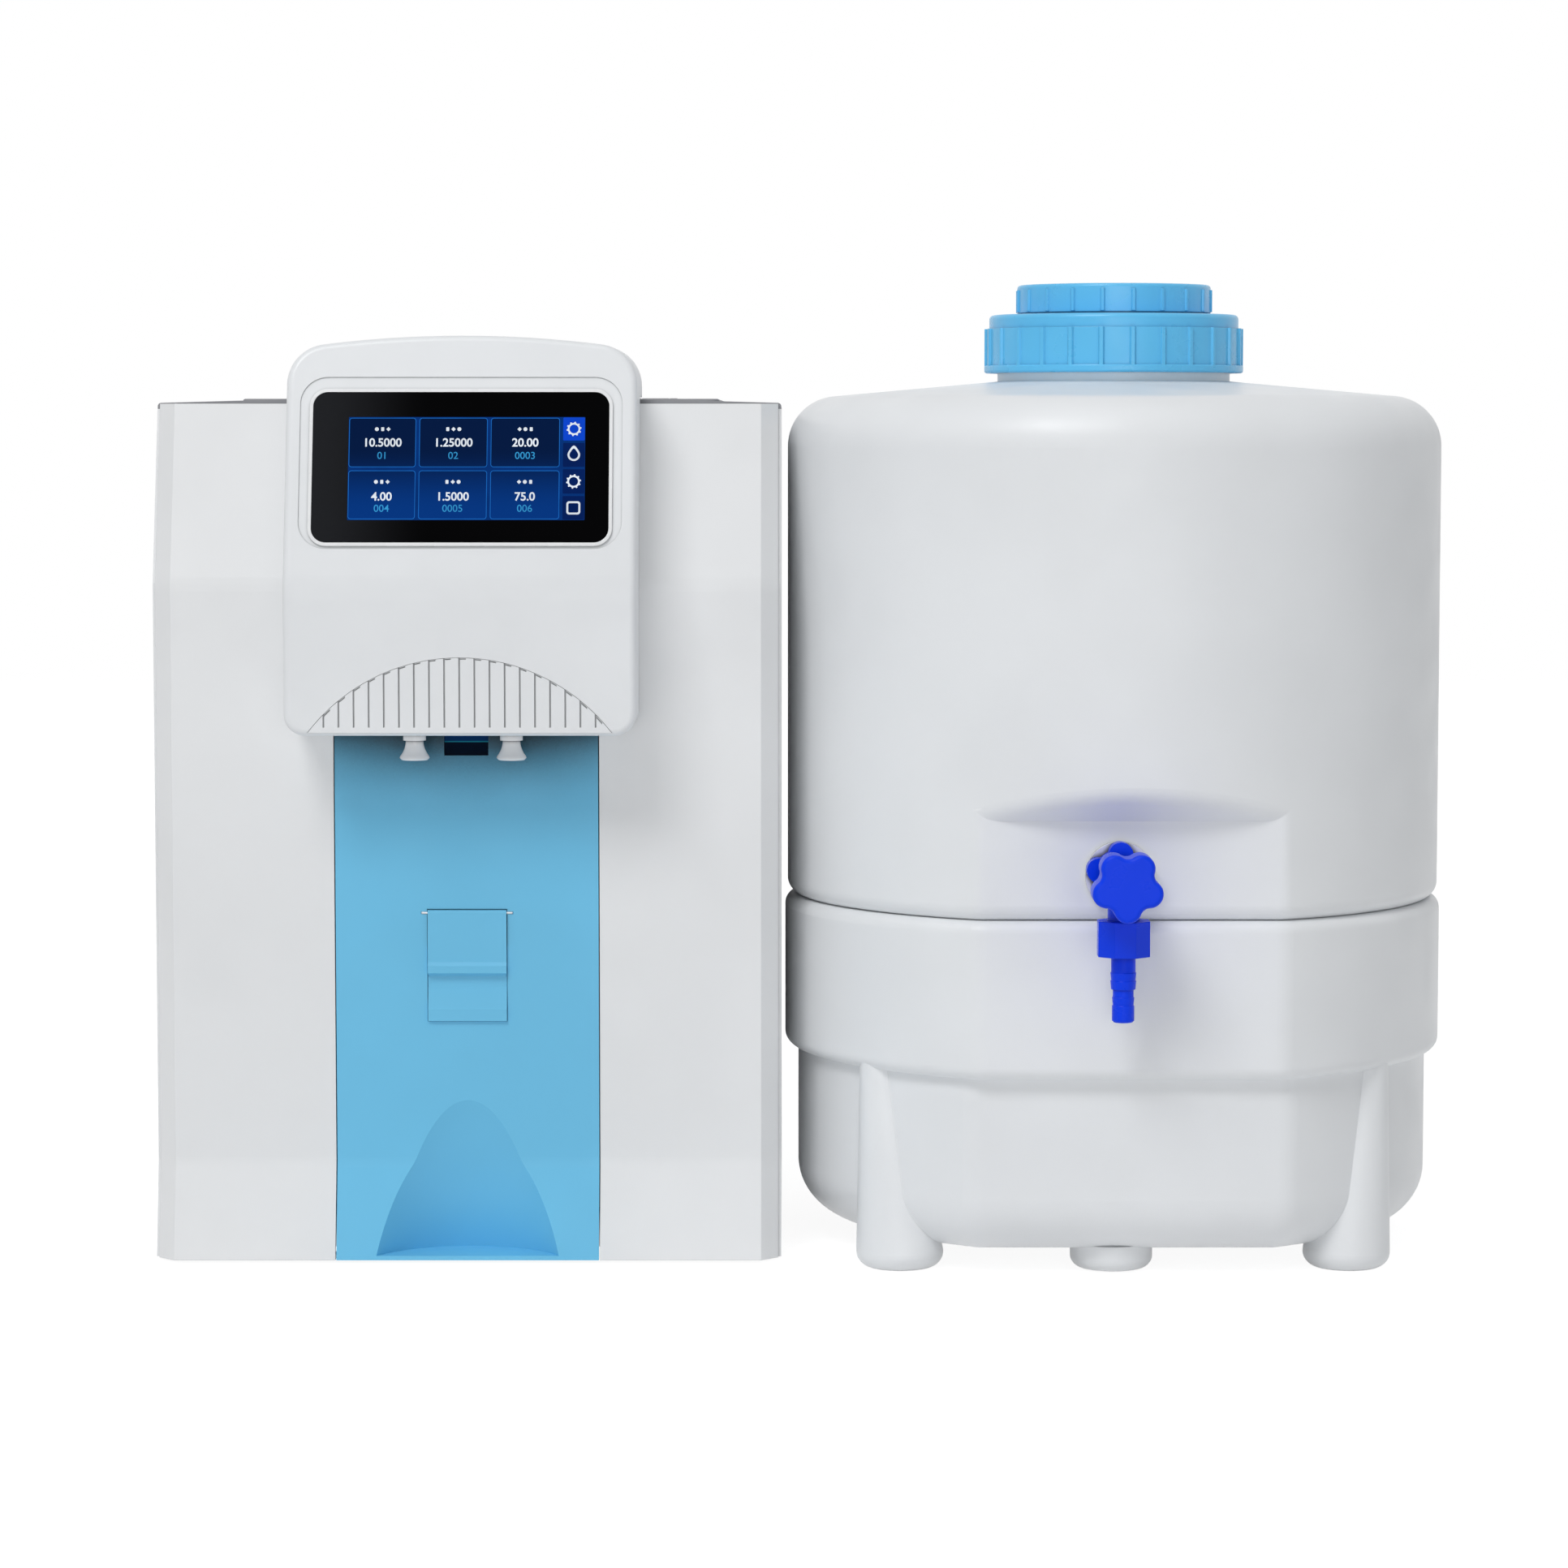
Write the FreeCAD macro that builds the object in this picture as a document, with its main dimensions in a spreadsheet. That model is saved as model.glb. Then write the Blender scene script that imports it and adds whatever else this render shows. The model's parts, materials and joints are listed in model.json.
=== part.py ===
import FreeCAD, Part
import math
import os
import re
import Sketcher

# Bench-top ultrapure water unit with its separate storage tank. Millimetres, +Z up, the front
# looks along -Y. The origin is the bottom centre of the whole object's box. The unit is drawn
# around its own centre line with Y = 0 at its upright front face, the tank around its own axis,
# and the pieces of the screen in the plane of the leaning face of the head.

SIZES = {
    # main unit
    "cabinet_width": 368,
    "cabinet_depth": 445,
    "cabinet_top": 503,
    "foot_height": 2,
    "foot_radius": 15,
    "foot_inset": 42,
    "kick_height": 58,
    "kick_reach": 12,
    "bend_height": 398,
    "lean_angle": 16,
    "bend_round": 30,
    "kick_round": 30,
    "head_bend_round": 50,
    "shell_wall": 3,
    "side_wall": 3,
    "fascia_inset": 1.8,
    "fascia_chamfer": 10,
    "fascia_depth": 13,
    "seam_gap": 0.3,
    "crown_height": 3,
    "cover_edge": 3.5,
    "sheet_thickness": 2,
    "tray_flange": 18,
    # centre panel with its niche, window and service flap
    "panel_width": 154,
    "panel_top": 335,
    "panel_gap": 0.6,
    "panel_wall": 3,
    "niche_radius": 60,
    "niche_top": 95,
    "niche_angle": 14,
    "niche_wall": 2.5,
    "window_width": 25.8,
    "window_bottom": 298,
    "window_height": 26,
    "window_depth": 6,
    "lens_thickness": 3,
    "flap_width": 46.2,
    "flap_height": 65.6,
    "flap_bottom": 142,
    "flap_thickness": 4,
    "flap_proud": 1.8,
    "flap_gap": 0.4,
    "flap_pin_radius": 0.8,
    "flap_pin_fit": 0.05,
    "port_depth": 22,
    "port_margin": 6,
    "cable_lift": 30,
    "cable_width": 60,
    "cable_height": 50,
    "cable_margin": 10,
    "port_cap_radius": 12,
    "port_cap_length": 13,
    # dispensing head
    "head_width": 202,
    "head_bottom": 313,
    "head_top": 542,
    "head_arch": 8,
    "head_reach": 55,
    "head_front_depth": 17,
    "head_back": 71,
    "head_low_round": 12.5,
    "head_top_round": 23.5,
    "head_seat_gap": 0.5,
    "bezel_width": 174.4,
    "bezel_low": 24.4,
    "bezel_height": 93.4,
    "bezel_round": 10.5,
    "bezel_rim": 2,
    "bezel_proud": 0.6,
    "bezel_flange": 3,
    "glass_sink": 0.3,
    "glass_thickness": 2,
    "display_width": 150,
    "display_height": 80,
    "display_thickness": 6,
    "dish_margin": 5.5,
    "dish_depth": 0.7,
    "insert_half_chord": 87.3,
    "insert_rise": 43.2,
    "insert_bottom": 314.8,
    "insert_depth": 2,
    "flute_pitch": 8.65,
    "flute_width": 0.9,
    "flute_depth": 1.4,
    "flute_count": 19,
    "flute_band": 3.2,
    "insert_gap": 0.3,
    "notch_drop": 0.7,
    "notch_height": 1,
    "notch_length": 3.3,
    "nozzle_spacing": 56,
    "nozzle_setback": 27,
    "nozzle_collar_radius": 6.6,
    "nozzle_collar_drop": 4.2,
    "nozzle_neck_radius": 5.1,
    "nozzle_mouth_radius": 8.7,
    "nozzle_drop": 15.6,
    "nozzle_bore": 3,
    "nozzle_flange_radius": 9,
    "nozzle_flange": 2,
    "valve_width": 22,
    "valve_height": 34,
    "valve_inlet": 10,
    # top lid
    "lid_width": 292,
    "lid_front": 145,
    "lid_depth": 250,
    "lid_top": 506.5,
    "lid_wall": 2.5,
    "lid_gap": 0.5,
    "lid_seat": 499.2,
    "ledge_width": 8,
    "ledge_thickness": 3,
    "lid_hinge_setback": 5,
    "lid_hinge_radius": 3.2,
    "lid_pin_radius": 1.5,
    "lid_pin_fit": 0.05,
    "lid_knuckle": 18,
    "lid_hinge_spread": 100,
    # inside and back of the unit
    "frame_setback": 232,
    "frame_height": 430,
    "frame_window_drop": 70,
    "frame_window_width": 70,
    "frame_window_height": 40,
    "frame_window_shift": 60,
    "cartridge_radius": 50,
    "cartridge_height": 330,
    "cartridge_row": 146,
    "cartridge_inset": 69,
    "membrane_radius": 44,
    "membrane_height": 350,
    "coupler_radius": 30,
    "coupler_height": 26,
    "pump_radius": 30,
    "pump_length": 96,
    "pump_head": 42,
    "pump_inset": 34,
    "pump_setback": 60,
    "pump_spacing": 90,
    "lamp_radius": 9,
    "lamp_chamber_radius": 32,
    "lamp_chamber_height": 300,
    "lamp_chamber_wall": 2,
    "lamp_setback": 62,
    "lamp_clearance": 10,
    "lamp_fit": 0.5,
    "supply_width": 70,
    "supply_depth": 110,
    "supply_height": 190,
    "supply_setback": 50,
    "supply_inset": 8,
    "board_width": 150,
    "board_height": 120,
    "board_thickness": 1.6,
    "board_standoff": 10,
    "board_low": 250,
    "board_shift": 85,
    "filter_radius": 30,
    "filter_height": 90,
    "filter_low": 330,
    "filter_shift": 85,
    "manifold_length": 120,
    "manifold_height": 30,
    "manifold_depth": 34,
    "manifold_low": 180,
    "manifold_shift": 95,
    "coil_spacing": 30,
    "fitting_radius": 9,
    "fitting_bore": 3.2,
    "fitting_length": 20,
    "fitting_spacing": 30,
    "fitting_height": 90,
    "inlet_width": 48,
    "inlet_height": 27,
    "inlet_socket_width": 24.2,
    "inlet_socket_height": 16.4,
    "inlet_socket_depth": 16,
    "inlet_body_depth": 22,
    "inlet_flange": 2.5,
    "switch_width": 19,
    "switch_height": 13,
    "screw_head": 4,
    "tube_radius": 3.175,
    "port_run": 24,
    # tank
    "tank_gap": 2.4,
    "tank_diameter": 395,
    "tank_setback": 100,
    "vessel_inset": 1.5,
    "vessel_wall": 3.5,
    "seam_height": 208.5,
    "vessel_low_round": 9,
    "shoulder_round": 30,
    "shoulder_drop": 11.3,
    "neck_foot_height": 516.5,
    "neck_radius": 69.7,
    "spigot_inset": 13,
    "spigot_depth": 14,
    "spigot_gap": 0.3,
    "tap_flat_inset": 22.3,
    "recess_top": 266,
    "recess_slope": 14,
    "recess_round": 12,
    "belt_flat_inset": 20.5,
    "belt_low": 117,
    "stand_wall": 4.5,
    "belt_round": 7,
    "flat_round": 20,
    "bowl_inset": 8,
    "bowl_flat_inset": 31.5,
    "bowl_bottom": 14,
    "bowl_round": 32,
    "leg_side_inset": 68,
    "leg_front_inset": 79.5,
    "leg_radius": 26.7,
    "leg_top_radius": 11,
    "leg_splay": 1.104,
    "leg_round": 9,
    "boss_radius": 24,
    "boss_inset": 72.5,
    "boss_lift": 1,
    "cap_low": 521.5,
    "cap_band": 4.6,
    "cap_band_radius": 77.7,
    "cap_skirt_radius": 76.1,
    "cap_ledge": 548,
    "cap_crown_radius": 74.7,
    "cap_top": 556.2,
    "cap_wall": 3,
    "cap_rib_width": 3,
    "cap_rib_count": 26,
    "cap_rib_turn": 11.35,
    "cap_neck_radius": 54,
    "cap_thread_gap": 0.5,
    "seal_thickness": 1.5,
    "small_cap_radius": 58,
    "small_cap_rib": 1.1,
    "small_cap_height": 16.6,
    "small_cap_lift": 1.2,
    "small_cap_wall": 2.5,
    "small_rib_count": 20,
    "small_rib_turn": 7.5,
    "rod_radius": 5,
    "rod_offset": 60,
    "rod_foot_radius": 20,
    "rod_foot_height": 6,
    "rod_top": 492,
    "rod_collar_radius": 9,
    "float_radius": 22,
    "float_height": 30,
    "float_fit": 0.6,
    "port_height": 462,
    "port_spacing": 60,
    "elbow_height": 22,
    "elbow_socket": 16,
    "elbow_way": 2.4,
    # tap
    "tap_height": 235,
    "tap_shift": 7.5,
    "washer_radius": 19.5,
    "washer_thickness": 4,
    "tap_nut_thickness": 10,
    "tap_nut_lobe": 7,
    "tap_nut_reach": 13,
    "tap_nut_core": 15.5,
    "tap_thread_radius": 9,
    "tap_back_nut_radius": 15,
    "tap_back_nut_thickness": 8,
    "barrel_radius": 12,
    "barrel_length": 36.2,
    "tap_bore": 7,
    "outlet_reach": 35.5,
    "outlet_radius": 9,
    "outlet_drop": 22,
    "union_radius": 14.5,
    "union_height": 20,
    "barb_radius": 7.3,
    "barb_low_radius": 6.3,
    "barb_length": 37.5,
    "barb_bore": 4,
    "barb_ring": 0.4,
    "knob_thickness": 20,
    "knob_lobe": 7.8,
    "knob_reach": 12.6,
    "knob_core": 15.8,
    "knob_valley": 4.5,
    "knob_round": 2.5,
    "knob_gap": 0.6,
    "stem_radius": 3.5,
    "stem_fit": 0.06,
    "tap_chamber": 17,
    "seat_bore": 5,
    "plunger_thickness": 4,
}

# sizes that follow the ones above
FOLLOWING = {
    "cartridge_spacing": "cabinet_width / 2 - side_wall - cartridge_inset",
    "vessel_radius": "tank_diameter / 2 - vessel_inset",
    "spigot_radius": "tank_diameter / 2 - spigot_inset",
    "tap_flat": "tank_diameter / 2 - tap_flat_inset",
    "belt_flat": "tank_diameter / 2 - belt_flat_inset",
    "bowl_radius": "tank_diameter / 2 - bowl_inset",
    "bowl_flat": "tank_diameter / 2 - bowl_flat_inset",
    "leg_spread": "tank_diameter / 2 - leg_side_inset",
    "leg_reach": "tank_diameter / 2 - leg_front_inset",
    "boss_reach": "tank_diameter / 2 - boss_inset",
}

# where the unit and the tank stand, and how far the whole reaches to the front and the back
TAP_REACH = ("tap_flat + washer_thickness + tap_nut_thickness + barrel_length + knob_gap"
             " + knob_thickness")
FRONT_REACH = "(" + TAP_REACH + " - tank_setback)"
REAR_REACH = "(cabinet_depth + fitting_length)"
UNIT_X = "-(tank_gap + tank_diameter) / 2"
UNIT_Y = "(" + FRONT_REACH + " - " + REAR_REACH + ") / 2"
TANK_X = "(cabinet_width + tank_gap) / 2"
TANK_Y = "(" + UNIT_Y + " + tank_setback)"
LEAN_RUN = "(cabinet_top - bend_height) * tan(lean_angle)"

# levels and places that several pieces share
TRAY_TOP = "(foot_height + sheet_thickness)"
INLET_X = "cabinet_width / 2 - 60"
INLET_LOW = "60"
SWITCH_LOW = "(%s + inlet_height + 10)" % INLET_LOW
SWITCH_Y = "(cabinet_depth - shell_wall)"
SWITCH_Z = "(%s + 1 + switch_height / 2)" % SWITCH_LOW
VENT_SLOTS = 8
PORT_COUNT = 4
SMALL_LOW = "(cap_top + small_cap_lift)"
SMALL_TOP = "(%s + small_cap_height)" % SMALL_LOW
FLOOR = "(seam_height - spigot_depth + vessel_wall)"
LID_HINGE_Y = "(lid_front + lid_depth + lid_hinge_setback)"
LID_HINGE_Z = "(lid_top - 1.5)"
PORT_LOW = "(flap_bottom + port_margin)"
PORT_HEIGHT = "(flap_height - 3 * port_margin)"
FLAP_PIN_Y = "(flap_thickness / 2 - flap_proud)"
FLAP_PIN_Z = "(flap_bottom + flap_height - flap_thickness / 2)"
HEAD_HIGH = "(head_top + 10)"
DISPLAY_LOW = "(bezel_low + (bezel_height - display_height) / 2)"
PUMP_X = "(pump_inset - cabinet_width / 2)"
LAMP_X = "(%s + pump_length + pump_head + lamp_clearance + lamp_chamber_radius)" % PUMP_X
FIRST_PUMP_Y = "(frame_setback + pump_setback)"
SECOND_PUMP_Y = "(frame_setback + pump_setback + pump_spacing)"

ROLES = {"x": "YZ_Plane", "y": "XZ_Plane", "z": "XY_Plane"}
TURNS = {
    "x": FreeCAD.Rotation(FreeCAD.Vector(0, 1, 0), 90),
    "y": FreeCAD.Rotation(FreeCAD.Vector(1, 0, 0), -90),
    "z": FreeCAD.Rotation(),
}
TOUCH = 0.01

document = FreeCAD.newDocument("UltrapureWaterSystem")
sheet = document.addObject("Spreadsheet::Sheet", "Sheet")
for row, (alias, number) in enumerate(SIZES.items(), start=1):
    sheet.set("A%d" % row, alias)
    sheet.set("B%d" % row, str(number))
    sheet.setAlias("B%d" % row, alias)
document.recompute()
nodes = {}


def scoped(formula):
    """The formula with each size's name pointing at its cell in the sheet."""
    def in_sheet(match):
        name = match[0]
        if name in FOLLOWING:
            return "(" + scoped(FOLLOWING[name]) + ")"
        return "Sheet." + name if name in SIZES else name
    return re.sub(r"[a-z][a-z_]*", in_sheet, str(formula))


def amount(formula):
    """What a formula is worth with the sheet's present sizes."""
    return float(sheet.evalExpression(scoped(formula)))


def bind(thing, **formulas):
    for name, formula in formulas.items():
        thing.setExpression(name, scoped(formula))
    return thing


def locate(thing, x=0, y=0, z=0):
    for axis, formula in zip("xyz", (x, y, z)):
        thing.setExpression("Placement.Base." + axis, scoped(formula))
    return thing


def box(x, y, z, length, width, height):
    return bind(locate(document.addObject("Part::Box", "block"), x, y, z),
                Length=length, Width=width, Height=height)


def middle_box(y, z, length, width, height, x=0):
    """A block centred on x."""
    return box("%s - (%s) / 2" % (x, length), y, z, length, width, height)


def rod(x, y, z, radius, height, axis="z"):
    """A cylinder from the point along the positive axis."""
    thing = document.addObject("Part::Cylinder", "round")
    thing.Placement = FreeCAD.Placement(FreeCAD.Vector(), TURNS[axis])
    return bind(locate(thing, x, y, z), Radius=radius, Height=height)


def cone(x, y, z, radius, far_radius, height, axis="z"):
    thing = document.addObject("Part::Cone", "taper")
    thing.Placement = FreeCAD.Placement(FreeCAD.Vector(), TURNS[axis])
    return bind(locate(thing, x, y, z), Radius1=radius, Radius2=far_radius, Height=height)


def join(*things):
    whole = document.addObject("Part::MultiFuse", "joined")
    whole.Shapes = list(things)
    whole.Refine = True
    return whole


def group(*things):
    """Separate solids of one node."""
    whole = document.addObject("Part::Compound", "set")
    whole.Links = list(things)
    return whole


def cut(base, *tools):
    result = document.addObject("Part::Cut", "trimmed")
    result.Base = base
    result.Tool = tools[0] if len(tools) == 1 else join(*tools)
    result.Refine = True
    return result


def shared(first, second):
    result = document.addObject("Part::Common", "overlap")
    result.Base = first
    result.Tool = second
    return result


def arc_middle(start, end, radius, side):
    """The point half way along the short arc from start to end that turns left or right."""
    chord = end.sub(start)
    across = FreeCAD.Vector(-chord.y, chord.x, 0).normalize()
    rise = radius - math.sqrt(radius ** 2 - (chord.Length / 2) ** 2)
    sign = -1 if side == "left" else 1
    return (start + end) * 0.5 + across * (sign * rise)


def outline_sketch(body, role, outline, offset=0):
    """A closed sketch. Each corner is (u, v), or (u, v, radius, side) where an arc follows it."""
    drawing = body.newObject("Sketcher::SketchObject", "outline")
    plane = next(item for item in body.Origin.OriginFeatures if item.Role == role)
    drawing.AttachmentSupport = [(plane, "")]
    drawing.MapMode = "FlatFace"
    drawing.setExpression("AttachmentOffset.Base.z", scoped(offset))
    points = [FreeCAD.Vector(amount(corner[0]), amount(corner[1]), 0) for corner in outline]
    ends = []
    rules = []
    for index, corner in enumerate(outline):
        start = points[index]
        end = points[(index + 1) % len(points)]
        if len(corner) > 2:
            middle = arc_middle(start, end, amount(corner[2]), corner[3])
            edge = drawing.addGeometry(Part.Arc(start, middle, end), False)
            rules.append((Sketcher.Constraint("Radius", edge, amount(corner[2])), corner[2]))
        else:
            edge = drawing.addGeometry(Part.LineSegment(start, end), False)
        forward = drawing.getPoint(edge, 1).distanceToPoint(start) < TOUCH
        ends.append((edge, 1, 2) if forward else (edge, 2, 1))
    for index, corner in enumerate(outline):
        edge, first, last = ends[index]
        following = ends[(index + 1) % len(ends)]
        joint = Sketcher.Constraint("Coincident", edge, last, following[0], following[1])
        rules.append((joint, None))
        across = Sketcher.Constraint("DistanceX", edge, first, points[index].x)
        rules.append((across, corner[0]))
        upward = Sketcher.Constraint("DistanceY", edge, first, points[index].y)
        rules.append((upward, corner[1]))
    drawing.addConstraint([rule for rule, formula in rules])
    for index, (rule, formula) in enumerate(rules):
        if formula is not None:
            drawing.setExpression("Constraints[%d]" % index, scoped(formula))
    return drawing


def prism(axis, outline, start, length):
    """An outline swept along an axis, from start, over length. Seen along x it is drawn in Y and
    Z, along y in X and Z, along z in X and Y."""
    body = document.addObject("PartDesign::Body", "prism")
    offset = "-(%s)" % start if axis == "y" else start
    profile = outline_sketch(body, ROLES[axis], outline, offset)
    pad = body.newObject("PartDesign::Pad", "sweep")
    pad.Profile = profile
    pad.Reversed = axis == "y"
    pad.setExpression("Length", scoped(length))
    document.recompute()
    return body


def turned(outline):
    """An outline of radius and height, turned round the Z axis."""
    body = document.addObject("PartDesign::Body", "turned")
    turning = body.newObject("PartDesign::Revolution", "turning")
    profile = outline_sketch(body, ROLES["y"], outline)
    body.Tip = turning
    turning.Profile = profile
    turning.ReferenceAxis = (profile, ["V_Axis"])
    turning.Angle = 360
    document.recompute()
    return body


def rectangle(left, low, right, high):
    return [(left, low), (right, low), (right, high), (left, high)]


def block_body(y, z, length, width, height):
    """A block centred on x = 0, as a body that can take fillets."""
    half = "(%s) / 2" % length
    outline = rectangle("-" + half, y, half, "(%s) + (%s)" % (y, width))
    return prism("z", outline, z, height)


def dressed(base):
    """A body that starts from the result of a cut or an overlap, so that it can take fillets."""
    body = document.addObject("PartDesign::Body", "dressed")
    document.recompute()
    body.BaseFeature = base
    document.recompute()
    return body


def soften(body, kind, size, *tests):
    """Fillet or chamfer the edges of a body that pass every test."""
    document.recompute()
    base = body.Tip
    chosen = ["Edge%d" % number for number, edge in enumerate(base.Shape.Edges, start=1)
              if all(test(edge) for test in tests)]
    feature = body.newObject("PartDesign::" + kind, kind.lower())
    feature.Base = (base, chosen)
    feature.setExpression("Radius" if kind == "Fillet" else "Size", scoped(size))
    document.recompute()
    return body


def spread(edge, axis):
    bounds = edge.BoundBox
    return {"x": (bounds.XMin, bounds.XMax), "y": (bounds.YMin, bounds.YMax),
            "z": (bounds.ZMin, bounds.ZMax)}[axis]


def at(axis, *formulas):
    """Edges that lie at one of the places along the axis."""
    places = [amount(formula) for formula in formulas]
    return lambda edge: any(max(abs(end - place) for end in spread(edge, axis)) < TOUCH
                            for place in places)


def inside(axis, low, high):
    """Edges that keep between two places along the axis."""
    least, most = amount(low), amount(high)
    return lambda edge: spread(edge, axis)[0] > least - TOUCH and spread(edge, axis)[1] < most + TOUCH


def along(axis):
    """Straight edges that run along the axis."""
    others = [other for other in "xyz" if other != axis]
    return lambda edge: all(spread(edge, other)[1] - spread(edge, other)[0] < TOUCH
                            for other in others)


def keep(name, thing, x, y, z=0):
    """Name a finished piece and put it at its place in the whole."""
    if thing.TypeId in ("Part::Box", "Part::Cylinder"):
        thing = group(thing)
    thing.Label = name
    nodes[name] = locate(thing, x, y, z)
    return thing


def in_unit(name, thing):
    return keep(name, thing, UNIT_X, UNIT_Y)


def in_tank(name, thing):
    return keep(name, thing, TANK_X, TANK_Y)


def on_screen(name, thing):
    """Pieces drawn upright, then leaned back about the bend line of the head's front face."""
    if thing.TypeId == "Part::Box":
        thing = group(thing)
    thing.Placement = FreeCAD.Placement(FreeCAD.Vector(), FreeCAD.Rotation(FreeCAD.Vector(1, 0, 0), 1))
    thing.setExpression("Placement.Rotation.Angle", scoped("-lean_angle"))
    return keep(name, thing, UNIT_X, UNIT_Y + " - head_reach", "bend_height")


def leaned(thing):
    """A cutting tool of the head, leaned back as on_screen does, in the unit's own frame."""
    thing.Placement = FreeCAD.Placement(FreeCAD.Vector(), FreeCAD.Rotation(FreeCAD.Vector(1, 0, 0), 1))
    thing.setExpression("Placement.Rotation.Angle", scoped("-lean_angle"))
    return locate(thing, 0, "-head_reach", "bend_height")


def front_line(shift, low="foot_height", high="cabinet_top"):
    """Side view of the front face, moved back by shift: kick, upright part, leaning top."""
    kick = "-kick_reach * (kick_height - (%s)) / (kick_height - foot_height) + (%s)" % (low, shift)
    lean = "(%s - bend_height) * tan(lean_angle) + (%s)" % (high, shift)
    return [(kick, low), (shift, "kick_height"), (shift, "bend_height"), (lean, high)]


def slab_between(front, back, low="foot_height", high="cabinet_top"):
    """Side view between two shifts of the front face."""
    return front_line(front, low, high) + front_line(back, low, high)[::-1]


def eased_bend(flat, radius):
    """The outline's two points at a softened bend, from the upright part to the leaning one."""
    run = "%s * tan(lean_angle / 2)" % radius
    return [(flat, "bend_height - " + run, radius, "right"),
            ("%s + %s * sin(lean_angle)" % (flat, run), "bend_height + %s * cos(lean_angle)" % run)]


def eased_kick():
    """The outline's two points at the softened fold between the kick and the upright part."""
    angle = "atan(kick_reach / (kick_height - foot_height))"
    run = "kick_round * tan(%s / 2)" % angle
    return [("-%s * sin(%s)" % (run, angle), "kick_height - %s * cos(%s)" % (run, angle),
             "kick_round", "left"),
            ("0", "kick_height + " + run)]


def eased_front():
    """Side view of the fascia's own front face, with its folds softened."""
    corners = front_line("0")
    return corners[:1] + eased_kick() + eased_bend("0", "bend_round") + corners[-1:]


# ---------------------------------------------------------------- carrying parts of the unit
def make_base_tray():
    inner_half = "(cabinet_width / 2 - side_wall)"
    front = "niche_top * tan(niche_angle) + niche_wall + 8"
    depth = "cabinet_depth - shell_wall - (%s)" % front
    outer = middle_box(front, "foot_height", "2 * " + inner_half, depth,
                       "sheet_thickness + tray_flange")
    hollow = middle_box(front + " + sheet_thickness", "foot_height + sheet_thickness",
                        "2 * " + inner_half + " - 2 * sheet_thickness",
                        depth + " - 2 * sheet_thickness", "tray_flange + 1")
    in_unit("base_tray", cut(outer, hollow))


def make_feet():
    reach = "cabinet_width / 2 - foot_inset"
    places = [(side + "(" + reach + ")", depth) for side in ("", "-")
              for depth in ("foot_inset + foot_radius", "cabinet_depth - foot_inset")]
    in_unit("rubber_feet", group(*[rod(x, y, 0, "foot_radius", "foot_height") for x, y in places]))


def make_inner_frame():
    width = "cabinet_width - 2 * side_wall - 2 * sheet_thickness - 2"
    floor = "foot_height + sheet_thickness"
    plate = middle_box("frame_setback", floor, width, "sheet_thickness", "frame_height - (%s)" % floor)
    flange = middle_box("frame_setback", floor, width, "tray_flange", "sheet_thickness")
    opening = middle_box("frame_setback - 1", "frame_height - frame_window_drop", "frame_window_width",
                         "sheet_thickness + 2", "frame_window_height", x="frame_window_shift")
    in_unit("inner_frame", cut(join(plate, flange), opening))


def make_rear_panel():
    inner_half = "(cabinet_width / 2 - side_wall)"
    height = "cabinet_top - shell_wall - foot_height"
    plate = middle_box("cabinet_depth - shell_wall", "foot_height", "2 * " + inner_half,
                       "shell_wall", height)
    holes = [rod(x, "cabinet_depth - shell_wall - 1", z, "fitting_radius - 2", "shell_wall + 2", "y")
             for x, z in fitting_places()]
    holes.append(middle_box("cabinet_depth - shell_wall - 1", INLET_LOW + " + 2",
                            "inlet_width - 12", "shell_wall + 2", "inlet_height - 4", x=INLET_X))
    holes.append(middle_box("cabinet_depth - shell_wall - 1", SWITCH_LOW, "switch_width + 2",
                            "shell_wall + 2", "switch_height + 2", x=INLET_X))
    for number in range(VENT_SLOTS):
        holes.append(middle_box("cabinet_depth - shell_wall - 1", "330 + %d * 12" % number, "110",
                                "shell_wall + 2", "5", x="70"))
    in_unit("rear_panel", cut(plate, *holes))


def fitting_places():
    """Feed, drain, tank and reject ports, in a row low on the rear panel's left half."""
    return [("-cabinet_width / 2 + 50 + %d * fitting_spacing" % number, "fitting_height")
            for number in range(PORT_COUNT)]


def make_side_covers():
    back = "cabinet_depth"
    gap = "fascia_depth + seam_gap"
    top = "cabinet_top - shell_wall"
    outline = front_line(gap, high=top) + [(back, top), (back, "foot_height")]
    for name, start in (("left_side_cover", "-cabinet_width / 2"),
                        ("right_side_cover", "cabinet_width / 2 - side_wall")):
        cover = prism("x", outline, start, "side_wall")
        face = "-cabinet_width / 2" if name.startswith("left") else "cabinet_width / 2"
        soften(cover, "Fillet", "side_wall / 2", at("x", face), along("z"),
               at("y", back))
        in_unit(name, cover)


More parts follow.
